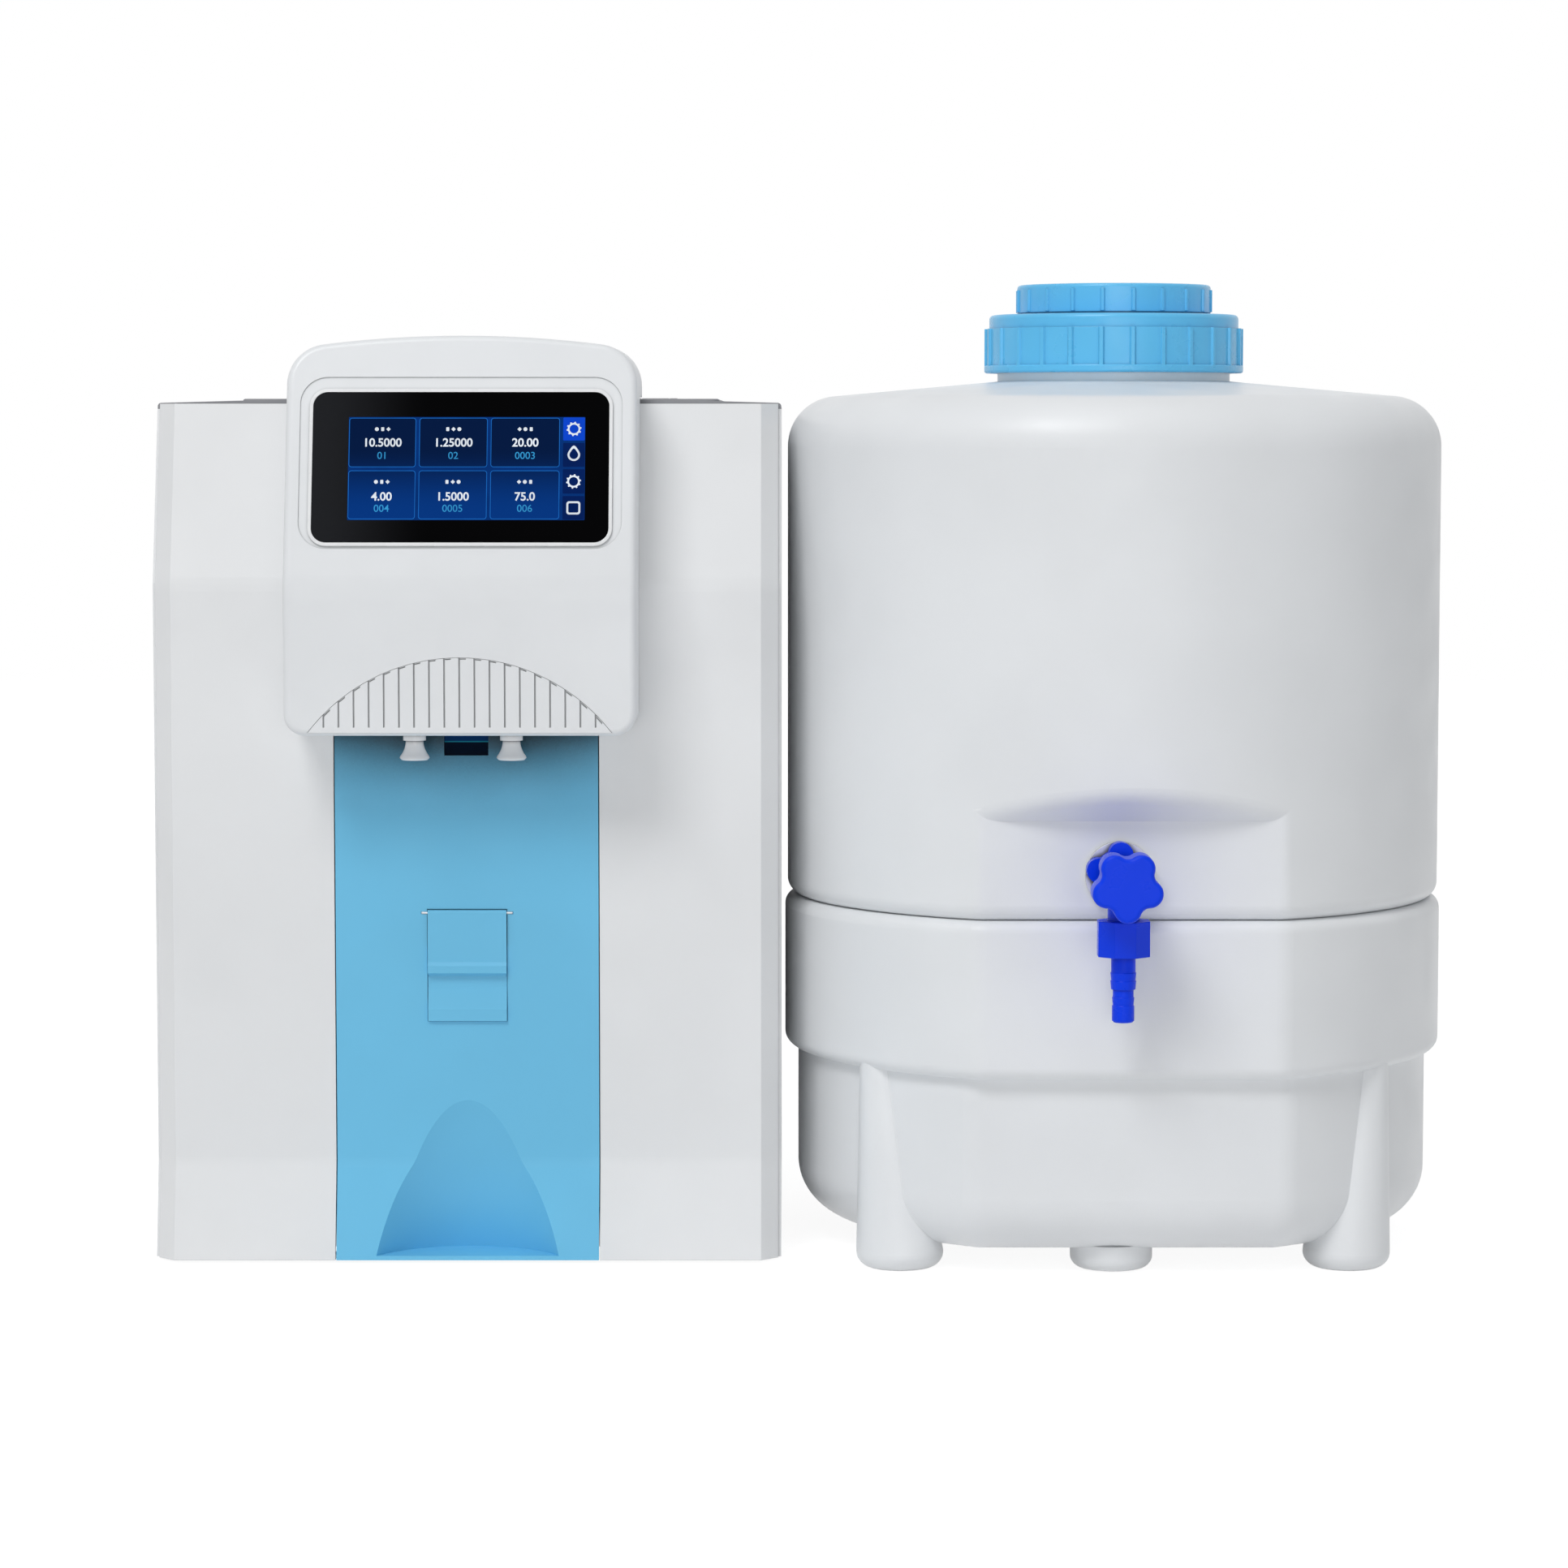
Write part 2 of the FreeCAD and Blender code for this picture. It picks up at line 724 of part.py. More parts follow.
def make_top_cover():
    half = "cabinet_width / 2"
    low = "cabinet_top - shell_wall"
    edge = low + " + cover_edge"
    radius = "((%s) ^ 2 + crown_height ^ 2) / (2 * crown_height)" % half
    front = LEAN_RUN + " + fascia_depth + seam_gap"
    outline = [("-(%s)" % half, low), (half, low), (half, edge, radius, "left"), ("-(%s)" % half, edge)]
    crown = prism("y", outline, front, "cabinet_depth - (%s)" % front)
    soften(crown, "Fillet", "cover_edge * 0.6", at("x", "cabinet_width / 2", "-cabinet_width / 2"),
           along("y"), at("z", edge))
    hole = middle_box("lid_front - lid_gap", low + " - 10", "lid_width + 2 * lid_gap",
                      "lid_depth + 2 * lid_gap", "40")
    ledge = middle_box("lid_front - lid_gap - ledge_width", "lid_seat - ledge_thickness",
                       "lid_width + 2 * lid_gap + 2 * ledge_width",
                       "lid_depth + 2 * lid_gap + 2 * ledge_width", "ledge_thickness")
    frame = middle_box("lid_front - lid_gap - ledge_width", "lid_seat",
                       "lid_width + 2 * lid_gap + 2 * ledge_width",
                       "lid_depth + 2 * lid_gap + 2 * ledge_width", low + " + 1 - lid_seat")
    bay = middle_box("lid_front - lid_gap + ledge_width", low + " - 20",
                     "lid_width + 2 * lid_gap - 2 * ledge_width",
                     "lid_depth + 2 * lid_gap - 2 * ledge_width", "60")
    cover = cut(join(cut(join(crown, frame), hole), ledge), bay)
    ears = []
    bores = []
    for side in (-1, 1):
        for end in (-1, 1):
            width = "5"
            x = "%d * lid_hinge_spread + %d * (lid_knuckle / 2 + lid_gap + %s / 2)" % (side, end, width)
            ears.append(middle_box(LID_HINGE_Y + " - lid_hinge_radius",
                                   low, width, "2 * lid_hinge_radius", LID_HINGE_Z + " - (%s)" % low, x=x))
            ears.append(rod(x + " - %s / 2" % width, LID_HINGE_Y, LID_HINGE_Z, "lid_hinge_radius",
                            width, "x"))
            bores.append(rod(x + " - 4", LID_HINGE_Y, LID_HINGE_Z, "lid_pin_radius", "8", "x"))
    trough = [middle_box(LID_HINGE_Y + " - lid_hinge_setback - 1", LID_HINGE_Z + " - lid_hinge_radius - 0.5",
                         "lid_knuckle + 2 * lid_gap", "lid_hinge_setback + lid_hinge_radius + 2", "20",
                         x="%d * lid_hinge_spread" % side) for side in (-1, 1)]
    in_unit("top_cover", cut(join(cut(cover, *trough), *ears), *bores))


def make_top_lid():
    low = "lid_seat + seam_gap"
    shell = block_body("lid_front", low, "lid_width", "lid_depth", "lid_top - (%s)" % low)
    soften(shell, "Fillet", "lid_wall * 2", along("z"))
    soften(shell, "Fillet", "lid_wall * 0.6", at("z", "lid_top"))
    hollow = middle_box("lid_front + lid_wall", low + " - 1", "lid_width - 2 * lid_wall",
                        "lid_depth - 2 * lid_wall", "lid_top - lid_wall - (%s) + 1" % low)
    parts = [cut(shell, hollow)]
    bores = []
    for side in (-1, 1):
        x = "%d * lid_hinge_spread" % side
        parts.append(rod(x + " - lid_knuckle / 2", LID_HINGE_Y, LID_HINGE_Z, "lid_hinge_radius",
                         "lid_knuckle", "x"))
        parts.append(middle_box("lid_front + lid_depth - lid_wall", LID_HINGE_Z + " - 1", "lid_knuckle",
                                "lid_wall + lid_hinge_setback", "lid_hinge_radius - 1", x=x))
        bores.append(rod(x + " - lid_knuckle", LID_HINGE_Y, LID_HINGE_Z, "lid_pin_radius + lid_pin_fit",
                         "2 * lid_knuckle", "x"))
    in_unit("top_lid", cut(join(*parts), *bores))


def make_hinge_pins():
    """The two pins of the top lid and the long one of the service flap."""
    half = "(lid_knuckle / 2 + lid_gap + 5)"
    lid_pins = [rod("%d * lid_hinge_spread - %s" % (side, half), LID_HINGE_Y, LID_HINGE_Z,
                    "lid_pin_radius", "2 * " + half, "x") for side in (-1, 1)]
    flap_pin = rod("-flap_width / 2 - 3.5", FLAP_PIN_Y, FLAP_PIN_Z, "flap_pin_radius",
                   "flap_width + 7", "x")
    in_unit("hinge_pins", group(*lid_pins, flap_pin))


# ---------------------------------------------------------------- front of the unit
def make_fascia():
    width = "(cabinet_width - 2 * fascia_inset)"
    outline = eased_front() + front_line("fascia_depth")[::-1]
    outer = prism("x", outline, "-%s / 2" % width, width)
    on_front = inside("y", "-kick_reach", LEAN_RUN)
    soften(outer, "Chamfer", "fascia_chamfer", at("x", width + " / 2", "-%s / 2" % width),
           lambda edge: edge_on_front(edge))
    inner_width = "(%s - 2 * shell_wall)" % width
    inner = prism("x", slab_between("shell_wall", "fascia_depth + 5", "foot_height + shell_wall",
                                    "cabinet_top - shell_wall"),
                  "-%s / 2" % inner_width, inner_width)
    soften(inner, "Chamfer", "fascia_chamfer - shell_wall * (2 - sqrt(2))",
           at("x", inner_width + " / 2", "-%s / 2" % inner_width),
           lambda edge: edge_on_front(edge, "shell_wall"))
    opening = middle_box("-kick_reach - 20", "0", "panel_width + 2 * panel_gap", "100",
                         "panel_top + panel_gap")
    cable_way = middle_box("-10", "panel_top + cable_lift - cable_margin",
                           "cable_width + 2 * cable_margin", "60", "cable_height + 2 * cable_margin")
    lips = [box("%s(panel_width / 2 + panel_gap)%s" % (sign, shift), "shell_wall",
                "kick_height", "shell_wall", "fascia_depth - shell_wall", "panel_top - kick_height")
            for sign, shift in (("", ""), ("-", " - shell_wall"))]
    in_unit("front_fascia", join(cut(outer, inner, opening, cable_way), *lips))


def edge_on_front(edge, shift="0"):
    """Whether an edge lies on the front face moved back by shift, and runs up it."""
    for vertex in edge.Vertexes:
        height = vertex.Point.z
        kick = amount("kick_height") - height
        lean = height - amount("bend_height")
        depth = amount(shift)
        if kick > 0:
            depth -= amount("kick_reach") * kick / amount("kick_height - foot_height")
        if lean > 0:
            depth += lean * math.tan(math.radians(amount("lean_angle")))
        if abs(vertex.Point.y - depth) > TOUCH:
            return False
    return edge.BoundBox.ZLength > 1


def make_centre_panel():
    slab = prism("x", slab_panel(), "-panel_width / 2", "panel_width")
    region_outline = [("-kick_reach", "foot_height"), ("0", "kick_height"), ("0", "niche_top + 10"),
                      ("60", "niche_top + 10"), ("60", "foot_height")]
    region = prism("x", region_outline, "-panel_width / 2", "panel_width")
    boss = shared(region, niche_cylinder("niche_radius + niche_wall"))
    floor_cut = middle_box("-60", "foot_height", "2 * niche_radius", "200", "200")
    port_box = middle_box("0", PORT_LOW + " - 2", "flap_width - port_margin * 2 + 4",
                          "port_depth + 2", PORT_HEIGHT + " + 4")
    window_box = middle_box("0", "window_bottom - 2", "window_width + 4", "window_depth + 3",
                            "window_height + 4")
    body = join(slab, boss, port_box, window_box, flap_back())
    above_floor = middle_box("-4 * niche_radius", "foot_height + niche_wall", "4 * niche_radius",
                             "8 * niche_radius", "2 * niche_top + 80")
    tools = [shared(niche_cylinder("niche_radius"), above_floor), flap_recess(),
             middle_box("-1", PORT_LOW, "flap_width - port_margin * 2", "port_depth + 1", PORT_HEIGHT),
             middle_box("-1", "window_bottom", "window_width", "window_depth + 1", "window_height"),
             rod("-flap_width / 2 - 4", FLAP_PIN_Y, FLAP_PIN_Z, "flap_pin_radius",
                 "flap_width + 8", "x")]
    in_unit("centre_panel", cut(body, *tools))


def slab_panel():
    front = [("-kick_reach", "foot_height")] + eased_kick() + [("0", "panel_top")]
    back = [("panel_wall", "panel_top"), ("panel_wall", "kick_height"),
            ("-kick_reach + panel_wall", "foot_height")]
    return front + back


def niche_cylinder(radius):
    """A cylinder that leans forward, so that its back wall meets the panel's face at the top."""
    tool = document.addObject("Part::Cylinder", "niche")
    tool.Placement = FreeCAD.Placement(FreeCAD.Vector(), FreeCAD.Rotation(FreeCAD.Vector(1, 0, 0), 1))
    tool.setExpression("Placement.Rotation.Angle", scoped("niche_angle"))
    bind(tool, Radius=radius, Height="2 * niche_top + 80")
    setback = "(niche_top + 40) * tan(niche_angle) - niche_radius / cos(niche_angle)"
    return locate(tool, 0, setback, "-40")


def flap_back():
    """Thicker wall behind the flap's recess."""
    return middle_box("0", "flap_bottom - 3", "flap_width + 8",
                      "flap_thickness - flap_proud + flap_gap + 2", "flap_height + 6")


def flap_recess():
    return middle_box("-5", "flap_bottom - flap_gap", "flap_width + 2 * flap_gap",
                      "flap_thickness - flap_proud + flap_gap + 5", "flap_height + 2 * flap_gap")


def make_service_flap():
    """A plate with a rounded hinge edge at the top, a ridge and a scooped finger pull."""
    face = "-flap_proud"
    back = "flap_thickness - flap_proud"
    top = "flap_bottom + flap_height"
    barrel_low = top + " - flap_thickness / 2"
    ridge = "-flap_proud - 1.4"
    deep = "flap_thickness - flap_proud - 1.6"
    outline = [(back, "flap_bottom"), (back, barrel_low, "flap_thickness / 2", "left"),
               ("0.5 * (%s) + 0.5 * (%s)" % (face, back), top, "flap_thickness / 2", "left"),
               (face, barrel_low), (face, "flap_bottom + 34.8"), (ridge, "flap_bottom + 32.6"),
               (ridge, "flap_bottom + 28.4"), (deep, "flap_bottom + 26.5"),
               (deep, "flap_bottom + 20"), (face, "flap_bottom + 6.8"), (face, "flap_bottom")]
    plate = prism("x", outline, "-flap_width / 2", "flap_width")
    bore = rod("-flap_width", FLAP_PIN_Y, FLAP_PIN_Z, "flap_pin_radius + flap_pin_fit",
               "2 * flap_width", "x")
    in_unit("service_flap", cut(plate, bore))


def make_port_cap():
    """Screw cap of the service port behind the flap, with a raised grip bar."""
    centre = PORT_LOW + " + " + PORT_HEIGHT + " / 2"
    disc = rod("0", "port_depth - port_cap_length", centre, "port_cap_radius", "port_cap_length", "y")
    grip = middle_box("port_depth - port_cap_length - 3", centre + " - 2", "port_cap_radius * 1.6",
                      "4", "4")
    in_unit("port_cap", join(disc, grip))


def make_window_insert():
    in_unit("window_insert", middle_box("window_depth - lens_thickness", "window_bottom",
                                        "window_width", "lens_thickness", "window_height"))


# ---------------------------------------------------------------- dispensing head
def head_front_view(inset):
    half = "(head_width / 2 - (%s))" % inset
    side_top = "head_top - head_arch - (%s)" % inset
    radius = "(%s ^ 2 + head_arch ^ 2) / (2 * head_arch)" % half
    low = "head_bottom + (%s)" % inset
    return [("-" + half, low), (half, low), (half, side_top, radius, "left"), ("-" + half, side_top)]


def head_block(inset):
    """The head's front view swept from front to back, with rounded corners."""
    block = prism("y", head_front_view(inset), "-head_reach - 10", "head_reach + head_back + 60")
    half = "head_width / 2 - (%s)" % inset
    soften(block, "Fillet", "head_low_round - (%s)" % inset, along("y"),
           at("z", "head_bottom + (%s)" % inset))
    soften(block, "Fillet", "head_top_round - (%s)" % inset, along("y"),
           at("x", half, "-(%s)" % half), inside("z", "head_bottom + 50", "head_top"))
    return block


def head_face(shift):
    """Side view of the head's front face moved back by shift, from low to high."""
    lean = "-head_reach + (%s - bend_height) * tan(lean_angle) + (%s)" % (HEAD_HIGH, shift)
    flat = "-head_reach + (%s)" % shift
    return [(flat, "head_bottom - 10"), (flat, "bend_height"), (lean, HEAD_HIGH)]


def head_rear(inset):
    """Side view of the head's back, from high to low: over the top cover, then down the fascia."""
    over = "cabinet_top - shell_wall + cover_edge + crown_height + head_seat_gap + (%s)" % inset
    slope_low = "-(%s)" % inset
    slope_high = "(%s - bend_height) * tan(lean_angle) - (%s)" % (over, inset)
    return [("head_back - (%s)" % inset, HEAD_HIGH), ("head_back - (%s)" % inset, over),
            (slope_high, over), (slope_low, "bend_height"), (slope_low, "head_bottom - 10")]


def head_slice(outline, inset):
    return shared(head_block(inset), prism("x", outline, "-head_width", "2 * head_width"))


def nozzle_places():
    return ["-nozzle_spacing / 2", "nozzle_spacing / 2"]


def make_head_front():
    corners = head_face("0")
    face = corners[:1] + eased_bend("-head_reach", "head_bend_round") + corners[-1:]
    outer = dressed(head_slice(face + head_face("head_front_depth")[::-1], "0"))
    soften(outer, "Fillet", "shell_wall * 1.3", lambda edge: edge_on_head_face(edge))
    hollow = head_slice(head_face("shell_wall") + head_face("head_front_depth + 5")[::-1],
                        "shell_wall")
    screen_hole = leaned(rounded_plate("bezel_width", "bezel_height", "bezel_low", "bezel_round",
                                       "-5", "20"))
    dish = leaned(rounded_plate("bezel_width + 2 * dish_margin", "bezel_height + 1.6 * dish_margin",
                                "bezel_low - 0.3 * dish_margin", "bezel_round + dish_margin",
                                "-10", "10 + dish_depth"))
    arch = prism("y", arch_outline(), "-head_reach - 5", "5 + insert_depth")
    in_unit("head_front_shell", cut(outer, hollow, screen_hole, dish, arch))


def edge_on_head_face(edge):
    """Whether an edge runs round the rim of the head's front face."""
    for vertex in edge.Vertexes:
        lean = max(vertex.Point.z - amount("bend_height"), 0)
        face = lean * math.tan(math.radians(amount("lean_angle"))) - amount("head_reach")
        if abs(vertex.Point.y - face) > TOUCH:
            return False
    across = inside("z", "bend_height - head_bend_round", "bend_height + head_bend_round")(edge)
    return not (across and edge.BoundBox.ZLength < TOUCH)


def make_head_rear():
    outer = head_slice(head_face("head_front_depth") + head_rear("0"), "0")
    hollow = head_slice(head_face("head_front_depth - 1") + head_rear("shell_wall"), "shell_wall")
    tools = [rod(x, "-nozzle_setback", "head_bottom - 5", "nozzle_collar_radius", "20")
             for x in nozzle_places()]
    cable_way = middle_box("-10", "panel_top + cable_lift", "cable_width", "50", "cable_height")
    in_unit("head_rear_shell", cut(outer, hollow, cable_way, *tools))


def rounded_plate(width, height, low, corner, front, depth):
    """A plate in X and Z with rounded corners, from front to front + depth along Y."""
    half = "(%s) / 2" % width
    outline = rectangle("-" + half, low, half, "(%s) + (%s)" % (low, height))
    return soften(prism("y", outline, front, depth), "Fillet", corner, along("y"))


def make_bezel():
    rim = rounded_plate("bezel_width", "bezel_height", "bezel_low", "bezel_round",
                        "-bezel_proud", "shell_wall + bezel_proud")
    flange = rounded_plate("bezel_width + 2 * bezel_flange", "bezel_height + 2 * bezel_flange",
                           "bezel_low - bezel_flange", "bezel_round", "shell_wall", "bezel_rim")
    seat = rounded_plate("bezel_width - 2 * bezel_rim", "bezel_height - 2 * bezel_rim",
                         "bezel_low + bezel_rim", "bezel_round - bezel_rim", "-5",
                         "5 - bezel_proud + glass_sink + glass_thickness")
    through = middle_box("-1", DISPLAY_LOW, "display_width", "20", "display_height")
    on_screen("screen_bezel", cut(join(rim, flange), seat, through))


def make_glass():
    on_screen("touch_glass", rounded_plate("bezel_width - 2 * bezel_rim", "bezel_height - 2 * bezel_rim",
                                           "bezel_low + bezel_rim", "bezel_round - bezel_rim",
                                           "-bezel_proud + glass_sink", "glass_thickness"))


def make_display():
    behind = "-bezel_proud + glass_sink + glass_thickness"
    on_screen("display_module", middle_box(behind, DISPLAY_LOW, "display_width", "display_thickness",
                                           "display_height"))


def arch_outline(inset="0"):
    """A flat-bottomed arch, with its curve moved in by the inset."""
    half = "(insert_half_chord - (%s))" % inset
    radius = "(insert_half_chord ^ 2 + insert_rise ^ 2) / (2 * insert_rise) - (%s)" % inset
    return [("-" + half, "insert_bottom"), (half, "insert_bottom", radius, "left")]


def make_fluted_insert():
    """An arched plate with upright grooves above a plain band, and a notch beside each groove's top."""
    body = prism("y", arch_outline("insert_gap"), "-head_reach", "insert_depth")
    first = "-(flute_count - 1) / 2 * flute_pitch"
    groove = [(first + " - flute_width / 2", "insert_bottom + flute_band"),
              (first + " + flute_width / 2", "insert_bottom + flute_band"),
              (first + " + flute_width / 2", "insert_bottom + insert_rise + 5"),
              (first + " - flute_width / 2", "insert_bottom + insert_rise + 5")]
    profile = outline_sketch(body, ROLES["y"], groove, "head_reach")
    pocket = body.newObject("PartDesign::Pocket", "groove")
    pocket.Profile = profile
    pocket.setExpression("Length", scoped("flute_depth"))
    document.recompute()
    row = body.newObject("PartDesign::LinearPattern", "flutes")
    row.Originals = [pocket]
    row.Direction = (profile, ["H_Axis"])
    row.setExpression("Length", scoped("(flute_count - 1) * flute_pitch"))
    row.setExpression("Occurrences", scoped("flute_count"))
    body.Tip = row
    document.recompute()
    rim = cut(prism("y", arch_outline("notch_drop"), "-head_reach", "flute_depth"),
              prism("y", arch_outline("notch_drop + notch_height"), "-head_reach", "flute_depth"))
    starts = [box("%s + %d * flute_pitch" % (first, number), "-head_reach", "insert_bottom",
                  "flute_width / 2 + notch_length", "flute_depth", "insert_rise")
              for number in range(int(amount("flute_count")))]
    in_unit("fluted_insert", cut(body, shared(rim, join(*starts))))


def make_nozzles():
    """Trumpet outlets that hang through the head's floor."""
    floor = "head_bottom + shell_wall"
    mouth = "head_bottom - nozzle_drop"
    collar_low = "head_bottom - nozzle_collar_drop"
    lip = "1.2"
    outline = [("nozzle_bore", mouth), ("nozzle_mouth_radius - " + lip, mouth),
               ("nozzle_mouth_radius", mouth + " + " + lip),
               ("nozzle_mouth_radius - 0.4", mouth + " + 2 * " + lip, "14", "right"),
               ("nozzle_neck_radius", collar_low), ("nozzle_collar_radius", collar_low),
               ("nozzle_collar_radius", floor), ("nozzle_flange_radius", floor),
               ("nozzle_flange_radius", floor + " + nozzle_flange"),
               ("nozzle_bore", floor + " + nozzle_flange")]
    for name, x in zip(("left_nozzle", "right_nozzle"), nozzle_places()):
        keep(name, turned(outline), UNIT_X + " + " + x, UNIT_Y + " - nozzle_setback")


def make_dispense_valves():
    """Solenoid valves that stand on the nozzles' flanges inside the head."""
    low = "head_bottom + shell_wall + nozzle_flange"
    parts = []
    for x in nozzle_places():
        block = middle_box("-nozzle_setback - valve_width / 2", low, "valve_width", "valve_width", "14",
                           x=x)
        coil = rod(x, "-nozzle_setback", low + " + 14", "valve_width * 0.42", "valve_height - 14")
        parts.append(cut(join(block, coil), rod(x, "-nozzle_setback", low, "nozzle_bore", "valve_inlet")))
    in_unit("dispense_valves", group(*parts))


# ---------------------------------------------------------------- inside the unit
def canister(x, y, radius, height, shoulder):
    """A treatment canister: can, narrower foot ring and shoulder."""
    foot = rod(x, y, TRAY_TOP, radius + " - 4", "6")
    can = rod(x, y, TRAY_TOP + " + 6", radius, height + " - 6 - (%s)" % shoulder)
    top = cone(x, y, TRAY_TOP + " + " + height + " - (%s)" % shoulder, radius, "coupler_radius",
               shoulder)
    return join(foot, can, top)


def canister_places():
    return {"pretreatment_cartridge": ("-cartridge_spacing", "cartridge_radius", "cartridge_height"),
            "polishing_cartridge": ("0", "cartridge_radius", "cartridge_height"),
            "membrane_housing": ("cartridge_spacing", "membrane_radius", "membrane_height")}


def make_canisters():
    couplers = []
    for name, (x, radius, height) in canister_places().items():
        in_unit(name, canister(x, "cartridge_row", radius, height, "14"))
        low = TRAY_TOP + " + " + height
        head = rod(x, "cartridge_row", low, "coupler_radius", "coupler_height")
        arm = middle_box("cartridge_row", low + " + 4", "18", "frame_setback - cartridge_row", "12", x=x)
        couplers.append(join(head, arm))
    in_unit("cartridge_couplers", group(*couplers))


def make_pumps():
    """Two motor pumps, each lying on a saddle on the tray."""
    for name, y in (("booster_pump", FIRST_PUMP_Y), ("circulation_pump", SECOND_PUMP_Y)):
        axis_z = TRAY_TOP + " + 8 + pump_radius"
        motor = rod(PUMP_X, y, axis_z, "pump_radius", "pump_length", "x")
        head = middle_box(y + " - pump_radius - 2", TRAY_TOP + " + 8", "pump_head",
                          "2 * pump_radius + 4", "2 * pump_radius + 4",
                          x=PUMP_X + " + pump_length + pump_head / 2")
        saddle = middle_box(y + " - pump_radius * 0.7", TRAY_TOP, "pump_length * 0.6",
                            "pump_radius * 1.4", "12", x=PUMP_X + " + pump_length / 2")
        in_unit(name, join(motor, head, saddle))


def make_ultraviolet():
    """Steel chamber on the tray, and its lamp that hangs in it by a plug."""
    x, y = LAMP_X, "frame_setback + lamp_setback"
    top = TRAY_TOP + " + lamp_chamber_height"
    chamber = rod(x, y, TRAY_TOP, "lamp_chamber_radius", "lamp_chamber_height")
    collar = rod(x, y, top + " - 8", "lamp_chamber_radius + 5", "8")
    hollow = rod(x, y, TRAY_TOP + " + lamp_chamber_wall", "lamp_chamber_radius - lamp_chamber_wall",
                 "lamp_chamber_height - 8 - lamp_chamber_wall")
    hole = rod(x, y, top + " - 9", "lamp_radius + lamp_fit", "10")
    in_unit("ultraviolet_chamber", cut(join(chamber, collar), hollow, hole))
    lamp = rod(x, y, TRAY_TOP + " + 12", "lamp_radius", "lamp_chamber_height - 12")
    plug = rod(x, y, top, "lamp_radius + 10", "18")
    in_unit("ultraviolet_lamp", join(lamp, plug))


def make_manifold():
    """Valve block on the inner frame's flange, with its four solenoid coils."""
    low = "foot_height + 2 * sheet_thickness"
    y = "frame_setback + sheet_thickness"
    block = middle_box(y, "manifold_low", "manifold_length", "manifold_depth", "manifold_height",
                       x="-manifold_shift")
    shelf = middle_box(y, "manifold_low - 4", "manifold_length", "manifold_depth", "4",
                       x="-manifold_shift")
    coils = [rod("%g * coil_spacing - manifold_shift" % (number - 1.5), y + " + manifold_depth / 2",
                 "manifold_low + manifold_height", "11", "28") for number in range(4)]
    in_unit("valve_manifold", join(block, shelf, *coils))
    cells = [rod("%d * coil_spacing - manifold_shift" % side, y + " + manifold_depth",
                 "manifold_low + manifold_height / 2", "7", "26", "y") for side in (-1, 1)]
    in_unit("conductivity_cells", group(*cells))


def make_electrics():
    """Power supply on the tray, control board on pillars on the inner frame."""
    x = "cabinet_width / 2 - side_wall - supply_inset - supply_width / 2"
    in_unit("power_supply", middle_box("frame_setback + supply_setback", TRAY_TOP, "supply_width",
                                       "supply_depth", "supply_height", x=x))
    plane = "frame_setback + sheet_thickness"
    low = "board_low"
    centre = "board_shift"
    board = middle_box(plane + " + board_standoff", low, "board_width", "board_thickness",
                       "board_height", x=centre)
    pillars = [rod("%s + %d * (board_width / 2 - 6)" % (centre, side), plane,
                   "%s + 6 + %d * (board_height - 12)" % (low, level), "3", "board_standoff", "y")
               for side in (-1, 1) for level in (0, 1)]
    chips = [middle_box(plane + " + board_standoff + board_thickness",
                        "%s + %g * board_height" % (low, height), "%g * board_width" % width,
                        "board_standoff / 2", "%g * board_height" % tall,
                        x=centre + " + %g * board_width" % shift)
             for shift, height, width, tall in ((-0.3, 0.17, 0.2, 0.25), (0.13, 0.2, 0.15, 0.18),
                                                (-0.13, 0.67, 0.4, 0.12), (0.32, 0.58, 0.11, 0.28))]
    in_unit("control_board", join(board, *pillars, *chips))


def make_final_filter():
    """Capsule filter in a ring bracket on the inner frame, under the lid."""
    x, y = "-filter_shift", "frame_setback + sheet_thickness + filter_radius + 8"
    low = "filter_low"
    capsule = rod(x, y, low, "filter_radius", "filter_height")
    dome = cone(x, y, low + " + filter_height", "filter_radius", "10", "14")
    spout = cone(x, y, low + " - 12", "8", "filter_radius", "12")
    bracket = middle_box("frame_setback + sheet_thickness", low + " + 30", "30", "12", "20", x=x)
    in_unit("final_filter", join(capsule, dome, spout, bracket))


def make_fittings():
    """Push-fit ports for quarter-inch tube through the rear panel."""
    parts = []
    for x, z in fitting_places():
        nut = rod(x, "cabinet_depth", z, "fitting_radius", "fitting_length - 6", "y")
        collet = rod(x, "cabinet_depth + fitting_length - 6", z, "fitting_radius - 2.5", "6", "y")
        thread = rod(x, "cabinet_depth - shell_wall - 14", z, "fitting_radius - 2", "shell_wall + 14",
                     "y")
        back_nut = rod(x, "cabinet_depth - shell_wall - 6", z, "fitting_radius + 1", "6", "y")
        bore = rod(x, "cabinet_depth - shell_wall - 20", z, "fitting_bore",
                   "shell_wall + 24 + fitting_length", "y")
        parts.append(cut(join(nut, collet, thread, back_nut), bore))
    in_unit("bulkhead_fittings", group(*parts))


